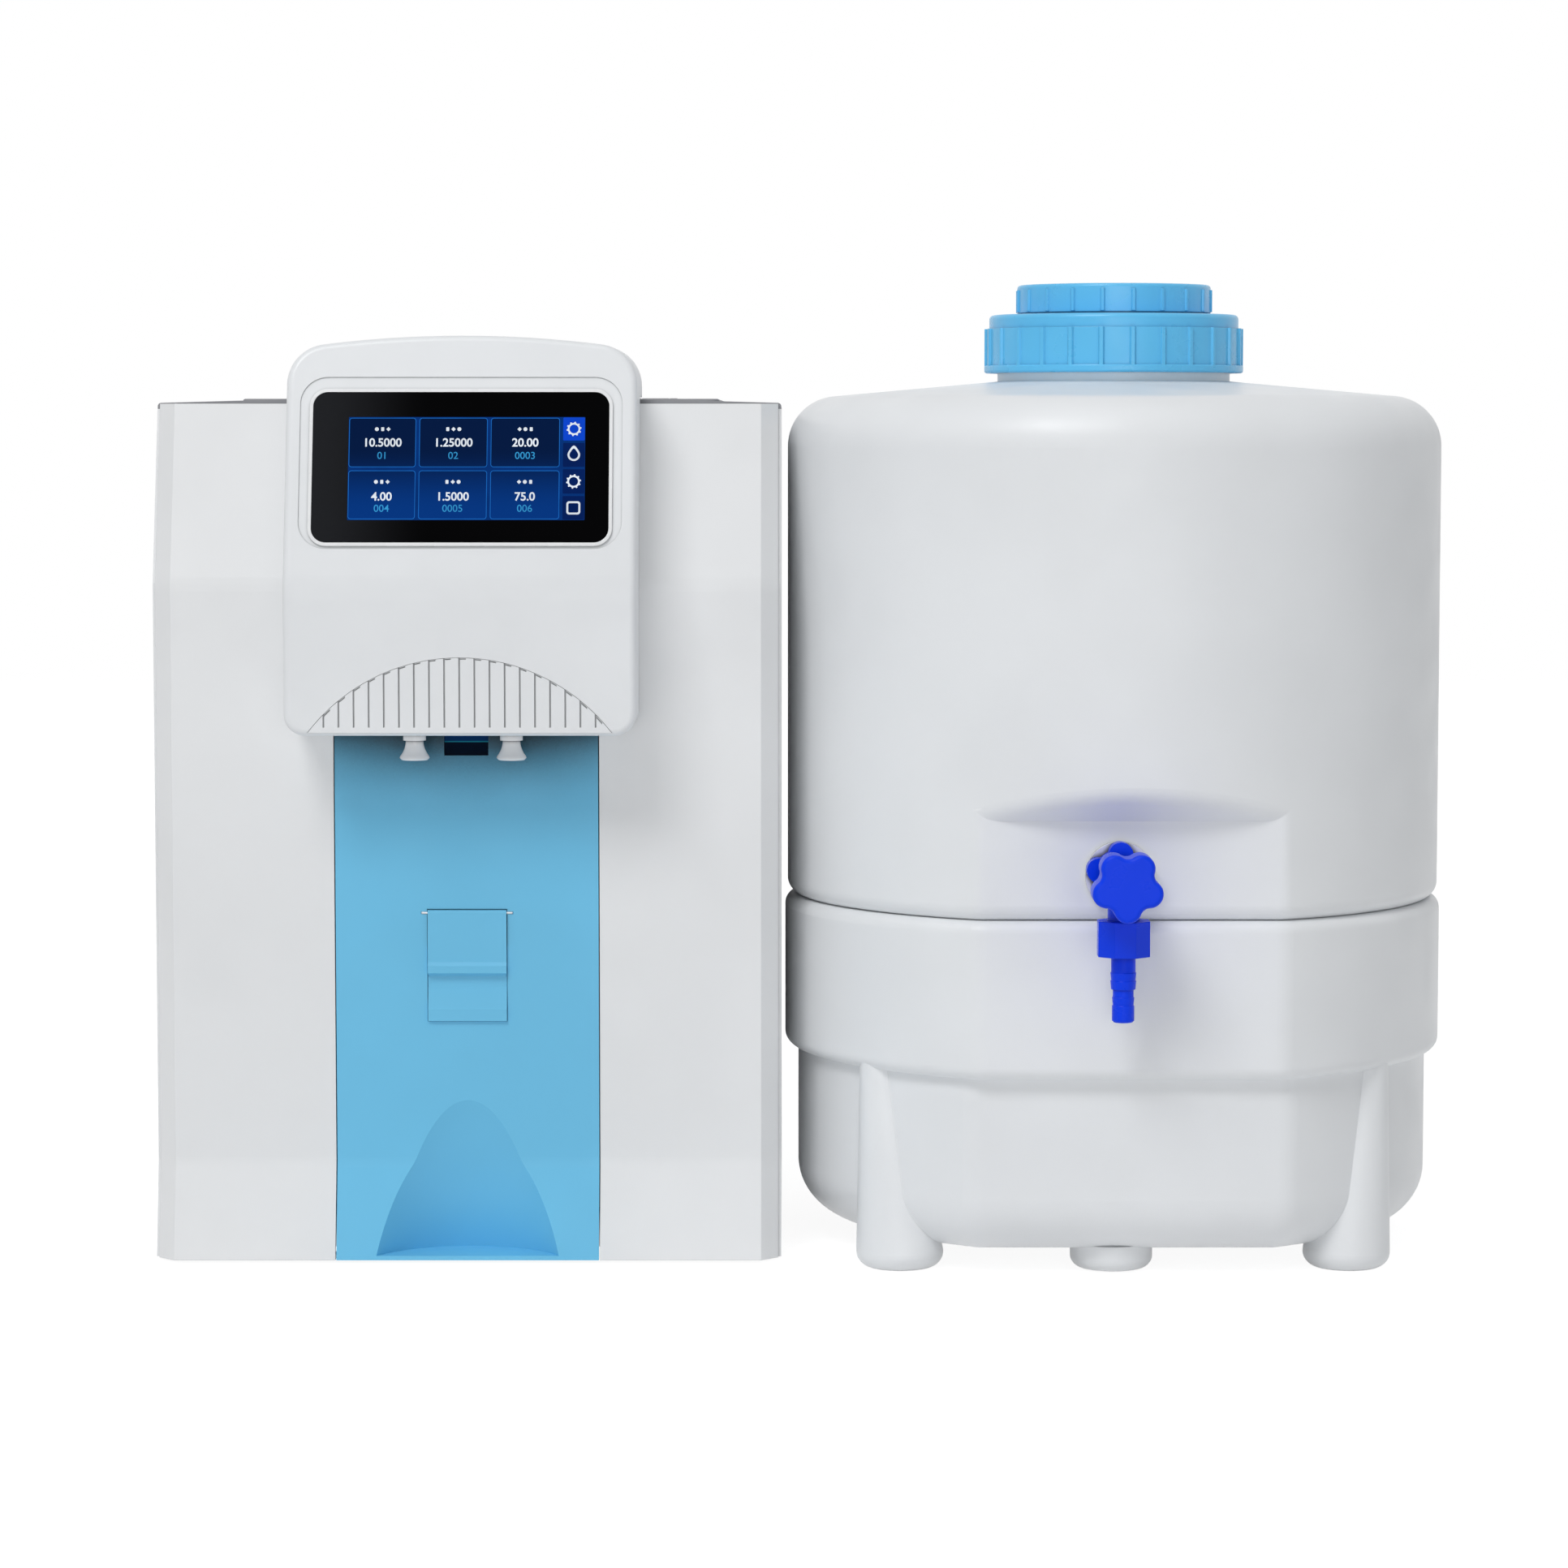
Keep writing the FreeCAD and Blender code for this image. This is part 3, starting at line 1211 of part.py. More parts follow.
def make_power_inlet():
    """Flanged mains socket with three flat contacts."""
    z = INLET_LOW
    flange = middle_box("cabinet_depth", z, "inlet_width", "inlet_flange", "inlet_height", x=INLET_X)
    body = middle_box("cabinet_depth - inlet_body_depth", z + " + 2", "inlet_width - 12",
                      "inlet_body_depth", "inlet_height - 4", x=INLET_X)
    socket = middle_box("cabinet_depth + inlet_flange - inlet_socket_depth",
                        z + " + (inlet_height - inlet_socket_height) / 2", "inlet_socket_width",
                        "inlet_socket_depth + 1", "inlet_socket_height", x=INLET_X)
    contacts = [middle_box("cabinet_depth + inlet_flange - inlet_socket_depth",
                           z + " + inlet_height / 2 - 2 + %d" % lift, "2", "inlet_socket_depth - 5",
                           "4", x=INLET_X + " + %d" % shift) for shift, lift in ((-7, -1), (0, 3), (7, -1))]
    in_unit("power_inlet", join(cut(join(flange, body), socket), *contacts))


def make_switch():
    """Rocker with a V-shaped face, and the frame that it rocks in."""
    wall = "3"
    frame_outer = middle_box("cabinet_depth", SWITCH_LOW + " - 2", "switch_width + 6", "2",
                             "switch_height + 6", x=INLET_X)
    frame_box = middle_box("cabinet_depth - 18", SWITCH_LOW, "switch_width + 2", "18",
                           "switch_height + 2", x=INLET_X)
    hollow = middle_box("cabinet_depth - 16", SWITCH_LOW + " + 0.8", "switch_width + 0.4", "20",
                        "switch_height + 0.4", x=INLET_X)
    pivot = rod(INLET_X + " - switch_width / 2 - 0.9", SWITCH_Y, SWITCH_Z, "1.5", "switch_width + 1.8",
                "x")
    in_unit("switch_frame", join(cut(join(frame_outer, frame_box), hollow), pivot))
    half = "(switch_height / 2 - 0.9)"
    outline = [(SWITCH_Y + " - 5", SWITCH_Z + " - 3.5"), (SWITCH_Y + " + 3", SWITCH_Z + " - " + half),
               (SWITCH_Y + " + 4.6", SWITCH_Z + " - " + half), (SWITCH_Y + " + 3.4", SWITCH_Z),
               (SWITCH_Y + " + 4.6", SWITCH_Z + " + " + half), (SWITCH_Y + " + 3", SWITCH_Z + " + " + half),
               (SWITCH_Y + " - 5", SWITCH_Z + " + 3.5")]
    rocker = prism("x", outline, INLET_X + " - switch_width / 2 + 0.3", "switch_width - 0.6")
    bore = rod(INLET_X + " - switch_width", SWITCH_Y, SWITCH_Z, "1.5 + lid_pin_fit", "2 * switch_width",
               "x")
    in_unit("power_switch", cut(rocker, bore))


def make_screws():
    """Countersunk screws of the rear panel."""
    heights = ["30", "cabinet_top / 2", "cabinet_top - 40"]
    screws = [rod("%d * (cabinet_width / 2 - side_wall - 8)" % side, "cabinet_depth", z, "screw_head", "1.6",
                  "y") for side in (-1, 1) for z in heights]
    in_unit("panel_screws", group(*screws))


def tube_route(points, radius):
    """A tube along straight runs joined by tangent arcs."""
    corners = [FreeCAD.Vector(*[amount(part) for part in point]) for point in points]
    bend = 5 * radius
    edges = []
    start = corners[0]
    for before, corner, after in zip(corners, corners[1:], corners[2:]):
        inward = (before - corner).normalize()
        outward = (after - corner).normalize()
        half_turn = (math.pi - inward.getAngle(outward)) / 2
        reach = bend * math.tan(half_turn)
        first = corner + inward * reach
        last = corner + outward * reach
        bisector = (inward + outward).normalize()
        middle = corner + bisector * (bend / math.cos(half_turn) - bend)
        edges.append(Part.LineSegment(start, first).toShape())
        edges.append(Part.Arc(first, middle, last).toShape())
        start = last
    edges.append(Part.LineSegment(start, corners[-1]).toShape())
    path = Part.Wire(edges)
    ring = Part.Wire(Part.Circle(corners[0], corners[1] - corners[0], radius).toShape())
    return path.makePipeShell([ring], True, False)


def make_tubes():
    """Quarter-inch tubes between the ports, the pumps, the filters and the head."""
    radius = amount("tube_radius")
    port_y = "cabinet_depth - shell_wall - 14"
    pump_top = TRAY_TOP + " + 12 + 2 * pump_radius"
    ports = fitting_places()
    coupler_top = TRAY_TOP + " + %s + coupler_height"
    head_x = PUMP_X + " + pump_length + pump_head / 2"
    head_y = SECOND_PUMP_Y + " - 12"
    routes = [
        [(ports[3][0], port_y, ports[3][1]), (ports[3][0], port_y + " - port_run", ports[3][1]),
         (ports[3][0], port_y + " - port_run", "150"), (head_x, head_y, "150"),
         (head_x, head_y, pump_top)],
        [("-cartridge_spacing", "cartridge_row", coupler_top % "cartridge_height"),
         ("-cartridge_spacing", "cartridge_row", "430"), ("0", "cartridge_row", "430"),
         ("0", "cartridge_row", coupler_top % "cartridge_height")],
    ]
    solids = [tube_route(route, radius) for route in routes]
    tubes = document.addObject("Part::Feature", "tubes")
    tubes.Shape = Part.makeCompound(solids)
    in_unit("inner_tubes", tubes)


# ---------------------------------------------------------------- tank
def vessel_outline(inset, mouth=None):
    """Half section of the vessel, from the axis out and up to the foot of its neck, or past it."""
    low = "seam_height + (%s)" % inset
    wall = "vessel_radius - (%s)" % inset
    shoulder = "neck_foot_height - shoulder_drop - (%s)" % inset
    neck = "neck_radius - (%s)" % inset
    foot = "neck_foot_height - (%s)" % inset
    points = [("0", low), (wall, low), (wall, shoulder), (neck, foot)]
    if mouth:
        points.append((neck, mouth))
    return points + [("0", mouth or foot)]


def recess_tool(shift):
    """Takes away the front of a round body for the tap, with a sloping roof."""
    flat = "-(tap_flat - (%s))" % shift
    roof = "recess_top + (%s)" % shift
    reach = "-(vessel_radius + 20)"
    slope = "recess_slope / (vessel_radius - tap_flat)"
    rise = "(%s) + (vessel_radius + 20 - tap_flat) * %s" % (roof, slope)
    outline = [(flat, "seam_height - 60"), (flat, roof), (reach, rise), (reach, "seam_height - 60")]
    return prism("x", outline, "-vessel_radius", "2 * vessel_radius")


def make_vessel():
    """Blow-moulded vessel: shoulder, neck, recess for the tap and a spigot into the stand."""
    shoulder = "neck_foot_height - shoulder_drop"
    outer = dressed(cut(turned(vessel_outline("0")), recess_tool("0")))
    soften(outer, "Fillet", "shoulder_round", at("z", shoulder))
    soften(outer, "Fillet", "recess_round", round_recess)
    soften(outer, "Fillet", "vessel_low_round", at("z", "seam_height"))
    spigot_flat = "bowl_flat - stand_wall - spigot_gap"
    spigot = cut(rod("0", "0", "seam_height - spigot_depth", "spigot_radius", "spigot_depth + 1"),
                 front_flat(spigot_flat, "0", "seam_height + 2"))
    inner = dressed(cut(turned(vessel_outline("vessel_wall", "neck_foot_height + 1")),
                        recess_tool("vessel_wall")))
    soften(inner, "Fillet", "shoulder_round - vessel_wall", at("z", shoulder + " - vessel_wall"))
    soften(inner, "Fillet", "recess_round - vessel_wall", round_recess)
    well = cut(rod("0", "0", "seam_height - spigot_depth + vessel_wall",
                   "spigot_radius - vessel_wall", "spigot_depth + 1"),
               front_flat(spigot_flat + " - vessel_wall", "0", "seam_height + 9"))
    tap_hole = rod("-tap_shift", "-vessel_radius", "tap_height", "tap_thread_radius",
                   "vessel_radius / 2", "y")
    ports = [rod(x, "vessel_radius / 2", "port_height", "fitting_radius - 2", "vessel_radius", "y")
             for x in tank_port_places()]
    in_tank("tank_vessel", cut(join(outer, spigot), inner, well, tap_hole, *ports))
    mouth = "cap_top - cap_wall - seal_thickness"
    inside = "neck_radius - vessel_wall"
    in_tank("vessel_neck", turned([(inside, "neck_foot_height"), ("neck_radius", "neck_foot_height"),
                                   ("neck_radius", mouth), (inside, mouth)]))


def round_recess(edge):
    """Edges where the upright flat and the roof of the recess meet the round wall."""
    return (edge.BoundBox.YMax < amount("-tap_flat / 2")
            and edge.BoundBox.ZLength > amount("recess_slope / 2"))


def tank_port_places():
    return ["-port_spacing / 2", "port_spacing / 2"]


def stand_outline():
    """Half section of the belt ring and the lower bowl."""
    belt = "tank_diameter / 2"
    return [("0", "bowl_bottom"), ("bowl_radius", "bowl_bottom"), ("bowl_radius", "belt_low"),
            (belt, "belt_low"), (belt, "seam_height"), ("0", "seam_height")]


def front_flat(distance, low, high):
    """A block that takes the front of a round body back to a distance from the axis."""
    return middle_box("-tank_diameter", low, "2 * tank_diameter", "tank_diameter - (%s)" % distance,
                      "(%s) - (%s)" % (high, low))


def make_stand():
    """Belt ring that carries the vessel, the bowl under it, its legs and its centre foot."""
    solid = dressed(cut(turned(stand_outline()),
                        front_flat("belt_flat", "belt_low", "seam_height + 20"),
                        front_flat("bowl_flat", "0", "belt_low")))
    soften(solid, "Fillet", "flat_round", along("z"), beside_flats)
    soften(solid, "Fillet", "belt_round", at("z", "seam_height"))
    soften(solid, "Fillet", "belt_round", at("z", "belt_low"), on_belt)
    soften(solid, "Fillet", "bowl_round", at("z", "bowl_bottom"))
    bowl = dressed(cut(turned(bowl_hollow_outline()),
                       front_flat("bowl_flat - stand_wall", "0", "seam_height + 2")))
    soften(bowl, "Fillet", "flat_round - stand_wall", along("z"), beside_flats)
    soften(bowl, "Fillet", "bowl_round - stand_wall", at("z", "bowl_bottom + stand_wall"))
    legs = [leg(side, front) for side in (-1, 1) for front in (-1, 1)]
    top = "bowl_bottom + stand_wall / 2"
    boss = turned([("0", "boss_lift"), ("boss_radius", "boss_lift"), ("boss_radius", top), ("0", top)])
    locate(boss, "-tap_shift", "-boss_reach")
    soften(boss, "Fillet", "leg_round * 0.8", at("z", "boss_lift"))
    in_tank("tank_stand", cut(join(solid, boss, *legs), bowl))


def beside_flats(edge):
    """Upright edges at either side of the front flats."""
    return edge.BoundBox.YMax < amount("-bowl_radius / 2")


def on_belt(edge):
    """Edges on the belt's own wall, on its round part, its flat or between them."""
    middle = edge.valueAt((edge.FirstParameter + edge.LastParameter) / 2)
    reach = math.hypot(middle.x, middle.y)
    return reach > amount("bowl_radius + 1") or middle.y < amount("-(belt_flat - 2)")


def bowl_hollow_outline():
    """Half section of the stand's inside, wide enough for the vessel's spigot."""
    wall = "spigot_radius + spigot_gap"
    floor = "bowl_bottom + stand_wall"
    return [("0", floor), (wall, floor), (wall, "seam_height + 1"), ("0", "seam_height + 1")]


def ring(x, y, z, radius):
    return bind(locate(document.addObject("Part::Circle", "ring"), x, y, z), Radius=radius)


def leg(side, front):
    """A leg that narrows upwards and splays out to the belt."""
    x = "%d * leg_spread" % side
    y = "%d * leg_reach" % front
    loft = document.addObject("Part::Loft", "leg")
    loft.Sections = [ring(x, y, "0", "leg_radius"),
                     ring(x + " * leg_splay", y, "belt_low + belt_round + 1", "leg_top_radius")]
    loft.Solid = True
    document.recompute()
    return soften(dressed(loft), "Fillet", "leg_round", at("z", "0"))


def make_big_cap():
    """Ribbed screw cap with a neck of its own for the small cap."""
    bore = "neck_radius + cap_thread_gap"
    under = "cap_top - cap_wall"
    top = SMALL_TOP + " - small_cap_wall - seal_thickness"
    outline = [(bore, "cap_low"), ("cap_band_radius", "cap_low"),
               ("cap_band_radius", "cap_low + cap_band"), ("cap_skirt_radius", "cap_low + cap_band"),
               ("cap_skirt_radius", "cap_ledge"), ("cap_crown_radius", "cap_ledge"),
               ("cap_crown_radius", "cap_top"), ("cap_neck_radius", "cap_top"),
               ("cap_neck_radius", top), ("cap_neck_radius - cap_wall", top),
               ("cap_neck_radius - cap_wall", under), (bore, under)]
    cap = turned(outline)
    soften(cap, "Fillet", "cap_wall * 0.9", at("z", "cap_top"),
           lambda edge: edge.BoundBox.XMax > amount("cap_crown_radius") - 1)
    soften(cap, "Fillet", "cap_wall * 0.5", at("z", "cap_low"),
           lambda edge: edge.BoundBox.XMax > amount("cap_band_radius") - 1)
    soften(cap, "Fillet", "cap_wall * 0.3", at("z", "cap_low + cap_band"),
           lambda edge: edge.BoundBox.XMax > amount("cap_band_radius") - 1)
    add_ribs(cap, "cap_skirt_radius - 0.5", "cap_band_radius - 0.1", "cap_rib_width", "cap_low + 1",
             "cap_ledge", "cap_rib_count", "cap_rib_turn")
    in_tank("big_cap", cap)


def add_ribs(cap, start, end, width, low, high, count, turn):
    """Upright grip ribs round a cap, wider at their feet; the first one is turned from the x axis."""
    corners = [(start, "-0.7"), (end, "-0.35"), (end, "0.35"), (start, "0.7")]
    outline = [("(%s) * cos(%s) - %s * %s * sin(%s)" % (out, turn, share, width, turn),
                "(%s) * sin(%s) + %s * %s * cos(%s)" % (out, turn, share, width, turn))
               for out, share in corners]
    profile = outline_sketch(cap, ROLES["z"], outline, low)
    rib = cap.newObject("PartDesign::Pad", "rib")
    rib.Profile = profile
    rib.setExpression("Length", scoped("(%s) - (%s)" % (high, low)))
    document.recompute()
    ring = cap.newObject("PartDesign::PolarPattern", "ribs")
    ring.Originals = [rib]
    ring.Axis = (profile, ["N_Axis"])
    ring.Angle = 360
    ring.setExpression("Occurrences", scoped(count))
    cap.Tip = ring
    document.recompute()


def make_cap_seals():
    """Flat seal discs: they lift with the caps and do not turn."""
    top = "cap_top - cap_wall"
    seal = turned([("cap_neck_radius - cap_wall", top + " - seal_thickness"),
                   ("neck_radius", top + " - seal_thickness"),
                   ("neck_radius", top), ("cap_neck_radius - cap_wall", top)])
    in_tank("big_cap_seal", seal)
    roof = SMALL_TOP + " - small_cap_wall"
    disc = turned([("0", roof + " - seal_thickness"), ("cap_neck_radius - 0.5", roof + " - seal_thickness"),
                   ("cap_neck_radius - 0.5", roof), ("0", roof)])
    in_tank("small_cap_seal", disc)


def make_small_cap():
    bore = "cap_neck_radius + cap_thread_gap"
    roof = SMALL_TOP + " - small_cap_wall"
    outline = [(bore, SMALL_LOW), ("small_cap_radius", SMALL_LOW), ("small_cap_radius", SMALL_TOP),
               ("4", SMALL_TOP), ("4", roof), (bore, roof)]
    cap = turned(outline)
    soften(cap, "Fillet", "small_cap_wall * 0.8", at("z", SMALL_TOP),
           lambda edge: edge.BoundBox.XMax > amount("small_cap_radius") - 1)
    add_ribs(cap, "small_cap_radius - 0.5", "small_cap_radius + small_cap_rib", "cap_rib_width * 0.8",
             SMALL_LOW + " + 0.5", SMALL_TOP + " - 3", "small_rib_count", "small_rib_turn")
    in_tank("small_cap", cap)


def make_level_gauge():
    """Level rod on the vessel's floor, with a stop collar at its top, and the float on it."""
    foot = rod("rod_offset", "0", FLOOR, "rod_foot_radius", "rod_foot_height")
    stem = rod("rod_offset", "0", FLOOR, "rod_radius", "rod_top - " + FLOOR)
    collar = rod("rod_offset", "0", "rod_top - 8", "rod_collar_radius", "8")
    in_tank("level_rod", join(foot, stem, collar))
    low = FLOOR + " + rod_foot_height + seam_gap"
    high = low + " + float_height"
    bore = "rod_radius + float_fit"
    ring = turned([(bore, low), ("float_radius", low), ("float_radius", high), (bore, high)])
    soften(ring, "Fillet", "float_radius / 4", lambda edge: edge.Length > 4 * amount("float_radius"))
    keep("level_float", ring, TANK_X + " + rod_offset", TANK_Y)


def make_tank_fittings():
    """Elbow ports high on the back of the vessel, for tubes that come from above."""
    parts = []
    for x in tank_port_places():
        wall = "sqrt(vessel_radius ^ 2 - (port_spacing / 2 + fitting_radius) ^ 2)"
        inside = wall + " - vessel_wall - 10"
        elbow_y = "vessel_radius + fitting_radius + 2"
        bend = rod(x, wall, "port_height", "fitting_radius - 1", elbow_y + " - " + wall, "y")
        throat = rod(x, inside, "port_height", "fitting_radius - 2", "vessel_wall + 16", "y")
        stem = cut(bend, rod("0", "0", "port_height - 20", "vessel_radius", "40"))
        body = rod(x, elbow_y, "port_height - fitting_radius", "fitting_radius",
                   "fitting_radius + elbow_height")
        way = rod(x, inside + " - 1", "port_height", "elbow_way - 0.4",
                  elbow_y + " - (%s) + 1" % inside, "y")
        drop = rod(x, elbow_y, "port_height", "elbow_way", "elbow_height")
        socket = rod(x, elbow_y, "port_height + elbow_height - elbow_socket", "fitting_bore",
                     "elbow_socket + 1")
        parts.append(cut(join(stem, throat, body), way, drop, socket))
    in_tank("tank_fittings", group(*parts))


# ---------------------------------------------------------------- tap
def lobed_disc(front, depth, reach, lobe, core, side="-"):
    """A disc with five round lobes, one of them straight down, or up with side +."""
    parts = [rod("-tap_shift", front, "tap_height", core, depth, "y")]
    for number in range(5):
        x = "(%s) * sin(%d) - tap_shift" % (reach, 72 * number)
        z = "tap_height %s (%s) * cos(%d)" % (side, reach, 72 * number)
        parts.append(rod(x, front, z, lobe, depth, "y"))
    return join(*parts)


def make_tap():
    washer_front = "-(tap_flat + washer_thickness)"
    nut_front = "-(tap_flat + washer_thickness + tap_nut_thickness)"
    washer = rod("-tap_shift", washer_front, "tap_height", "washer_radius", "washer_thickness", "y")
    in_tank("tap_washer", cut(washer, rod("-tap_shift", washer_front + " - 1", "tap_height",
                                          "tap_thread_radius", "washer_thickness + 2", "y")))
    nut = lobed_disc(nut_front, "tap_nut_thickness", "tap_nut_reach", "tap_nut_lobe",
                     "tap_nut_core", "+")
    in_tank("tap_fixing_nut", cut(nut, rod("-tap_shift", nut_front + " - 1", "tap_height",
                                           "tap_thread_radius", "tap_nut_thickness + 2", "y")))
    inside_wall = "-(tap_flat - vessel_wall)"
    back_nut = rod("-tap_shift", inside_wall, "tap_height", "tap_back_nut_radius",
                   "tap_back_nut_thickness", "y")
    in_tank("tap_back_nut", cut(back_nut, rod("-tap_shift", inside_wall + " - 1", "tap_height",
                                              "tap_thread_radius", "tap_back_nut_thickness + 2", "y")))
    make_tap_body(nut_front, inside_wall)
    make_knob()


def make_tap_body(nut_front, inside_wall):
    front = "-(%s - knob_gap - knob_thickness)" % TAP_REACH
    thread = rod("-tap_shift", nut_front, "tap_height", "tap_thread_radius",
                 "(%s) - (%s) + tap_back_nut_thickness + 4" % (inside_wall, nut_front), "y")
    barrel = rod("-tap_shift", front, "tap_height", "barrel_radius", "barrel_length", "y")
    spout_y = "-(tap_flat + outlet_reach)"
    outlet = rod("-tap_shift", spout_y, "tap_height - outlet_drop - union_height", "outlet_radius",
                 "outlet_drop + union_height")
    chamber = rod("-tap_shift", front + " + 8", "tap_height", "tap_bore", "tap_chamber", "y")
    water_way = rod("-tap_shift", front + " + 8", "tap_height", "seat_bore", "120", "y")
    stem_way = rod("-tap_shift", front + " - 1", "tap_height", "stem_radius + stem_fit", "20", "y")
    drop = rod("-tap_shift", spout_y, "tap_height - outlet_drop - union_height - 1", "barb_bore",
               "outlet_drop + union_height")
    in_tank("tap_body", cut(join(thread, barrel, outlet), chamber, water_way, stem_way, drop))
    low = "tap_height - outlet_drop - union_height"
    nut_outline = polygon("2 * union_radius", 8)
    nut = prism("z", [(x + " - tap_shift", "%s + (%s)" % (y, spout_y)) for x, y in nut_outline], low,
                "union_height")
    in_tank("union_nut", cut(nut, rod("-tap_shift", spout_y, low + " - 1", "outlet_radius",
                                      "union_height + 2")))
    make_barb(spout_y, low)
    seat = front + " + 8 + tap_chamber"
    disc = rod("-tap_shift", seat + " - plunger_thickness - 0.1", "tap_height", "seat_bore + 0.8",
               "plunger_thickness", "y")
    nose = rod("-tap_shift", seat + " - 0.1", "tap_height", "stem_radius", "8", "y")
    in_tank("tap_plunger", join(disc, nose))


def polygon(across, sides):
    """Corners of an even-sided nut with flats to the front, by its width across the flats."""
    turn = 360 / sides
    corner = "(%s) / (2 * cos(%g))" % (across, turn / 2)
    return [("%s * cos(%g)" % (corner, (number + 0.5) * turn),
             "%s * sin(%g)" % (corner, (number + 0.5) * turn)) for number in range(sides)]


def make_barb(spout_y, top):
    """Hose tail under the union nut: two rings on its thicker upper half, two on its lower half."""
    end = "(%s) - barb_length" % top
    step = "barb_length / 8"
    outline = [("barb_bore", end), ("barb_low_radius - 1", end), ("barb_low_radius", end + " + 1")]
    for radius, rise in (("barb_low_radius", 2), ("barb_low_radius", 3), ("barb_radius", 5),
                         ("barb_radius", 6)):
        level = "%s + %d * %s" % (end, rise, step)
        outline.append((radius, level))
        outline.append((radius + " - barb_ring", "%s + barb_ring" % level))
    outline[7:7] = [("barb_low_radius - barb_ring", "%s + 4 * %s" % (end, step)),
                    ("barb_radius - barb_ring", "%s + 4 * %s" % (end, step))]
    outline.append(("barb_radius - barb_ring", top))
    outline.append(("barb_bore", top))
    keep("hose_barb", turned(outline), TANK_X + " - tap_shift", TANK_Y + " + (%s)" % spout_y)


def make_knob():
    """Five-lobed hand knob with its stem."""
    front = "-(%s)" % TAP_REACH
    disc = dressed(lobed_disc(front, "knob_thickness", "knob_reach", "knob_lobe", "knob_core"))
    soften(disc, "Fillet", "knob_valley", along("y"), beside_lobe)
    soften(disc, "Fillet", "knob_round", at("y", front))
    stem = rod("-tap_shift", front + " + knob_thickness", "tap_height", "stem_radius",
               "knob_gap + 8 + tap_chamber - plunger_thickness - 0.1", "y")
    in_tank("tap_knob", join(disc, stem))


def beside_lobe(edge):
    """Whether an edge lies where one of the knob's lobes meets its core."""
    point = edge.Vertexes[0].Point
    across = math.hypot(point.x + amount("tap_shift"), point.z - amount("tap_height"))
    return abs(across - amount("knob_core")) < TOUCH


make_base_tray()
make_feet()
make_inner_frame()
make_rear_panel()
make_side_covers()
make_top_cover()
make_top_lid()
make_hinge_pins()
make_fascia()
make_centre_panel()
make_service_flap()
make_port_cap()
make_window_insert()
make_head_front()
make_head_rear()
make_bezel()
make_glass()
make_display()
make_fluted_insert()
make_nozzles()
make_dispense_valves()
make_canisters()
make_pumps()
make_ultraviolet()
make_manifold()
make_electrics()
make_final_filter()
make_fittings()
make_power_inlet()
make_switch()
make_screws()
make_tubes()
make_vessel()
make_stand()
make_big_cap()
make_cap_seals()
make_small_cap()
make_level_gauge()
make_tank_fittings()
make_tap()

document.recompute()
faults = [item.Label for item in document.Objects
          if "Invalid" in item.State or "Error" in item.State]
faults += [name for name, thing in nodes.items() if thing.Shape.isNull() or not thing.Shape.isValid()]
if faults:
    raise RuntimeError("failed objects: " + ", ".join(faults))
os.makedirs("parts", exist_ok=True)
for name, thing in nodes.items():
    thing.Shape.exportStep("parts/%s.step" % name)
print(len(nodes), "pieces written")
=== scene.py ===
import json
import math
import bmesh
import bpy
from mathutils import Matrix, Vector


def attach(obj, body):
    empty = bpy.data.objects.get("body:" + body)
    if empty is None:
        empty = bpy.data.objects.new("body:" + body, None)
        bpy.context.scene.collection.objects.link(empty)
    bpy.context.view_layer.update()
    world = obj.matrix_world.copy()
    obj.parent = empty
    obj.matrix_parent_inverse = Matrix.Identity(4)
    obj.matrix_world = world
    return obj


# Looks for the ultrapure water unit and its tank. Metres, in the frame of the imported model:
# +Z is up and the front looks along -Y.

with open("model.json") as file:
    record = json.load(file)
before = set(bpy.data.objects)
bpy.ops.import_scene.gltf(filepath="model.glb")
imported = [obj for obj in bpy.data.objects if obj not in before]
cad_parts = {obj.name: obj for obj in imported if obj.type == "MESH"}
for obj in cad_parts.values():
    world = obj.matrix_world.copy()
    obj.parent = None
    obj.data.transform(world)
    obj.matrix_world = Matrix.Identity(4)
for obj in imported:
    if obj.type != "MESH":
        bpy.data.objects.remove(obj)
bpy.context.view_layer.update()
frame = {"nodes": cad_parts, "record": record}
nodes = frame["nodes"]
MM = 0.001


# ---------------------------------------------------------------- materials
def linear(value):
    value /= 255
    return value / 12.92 if value <= 0.04045 else ((value + 0.055) / 1.055) ** 2.4


def colour(red, green, blue):
    """A colour written as it should look on screen, 0 to 255."""
    return (linear(red), linear(green), linear(blue), 1)


def shade(rgb, factor):
    return tuple(channel * factor for channel in rgb[:3]) + (1,)


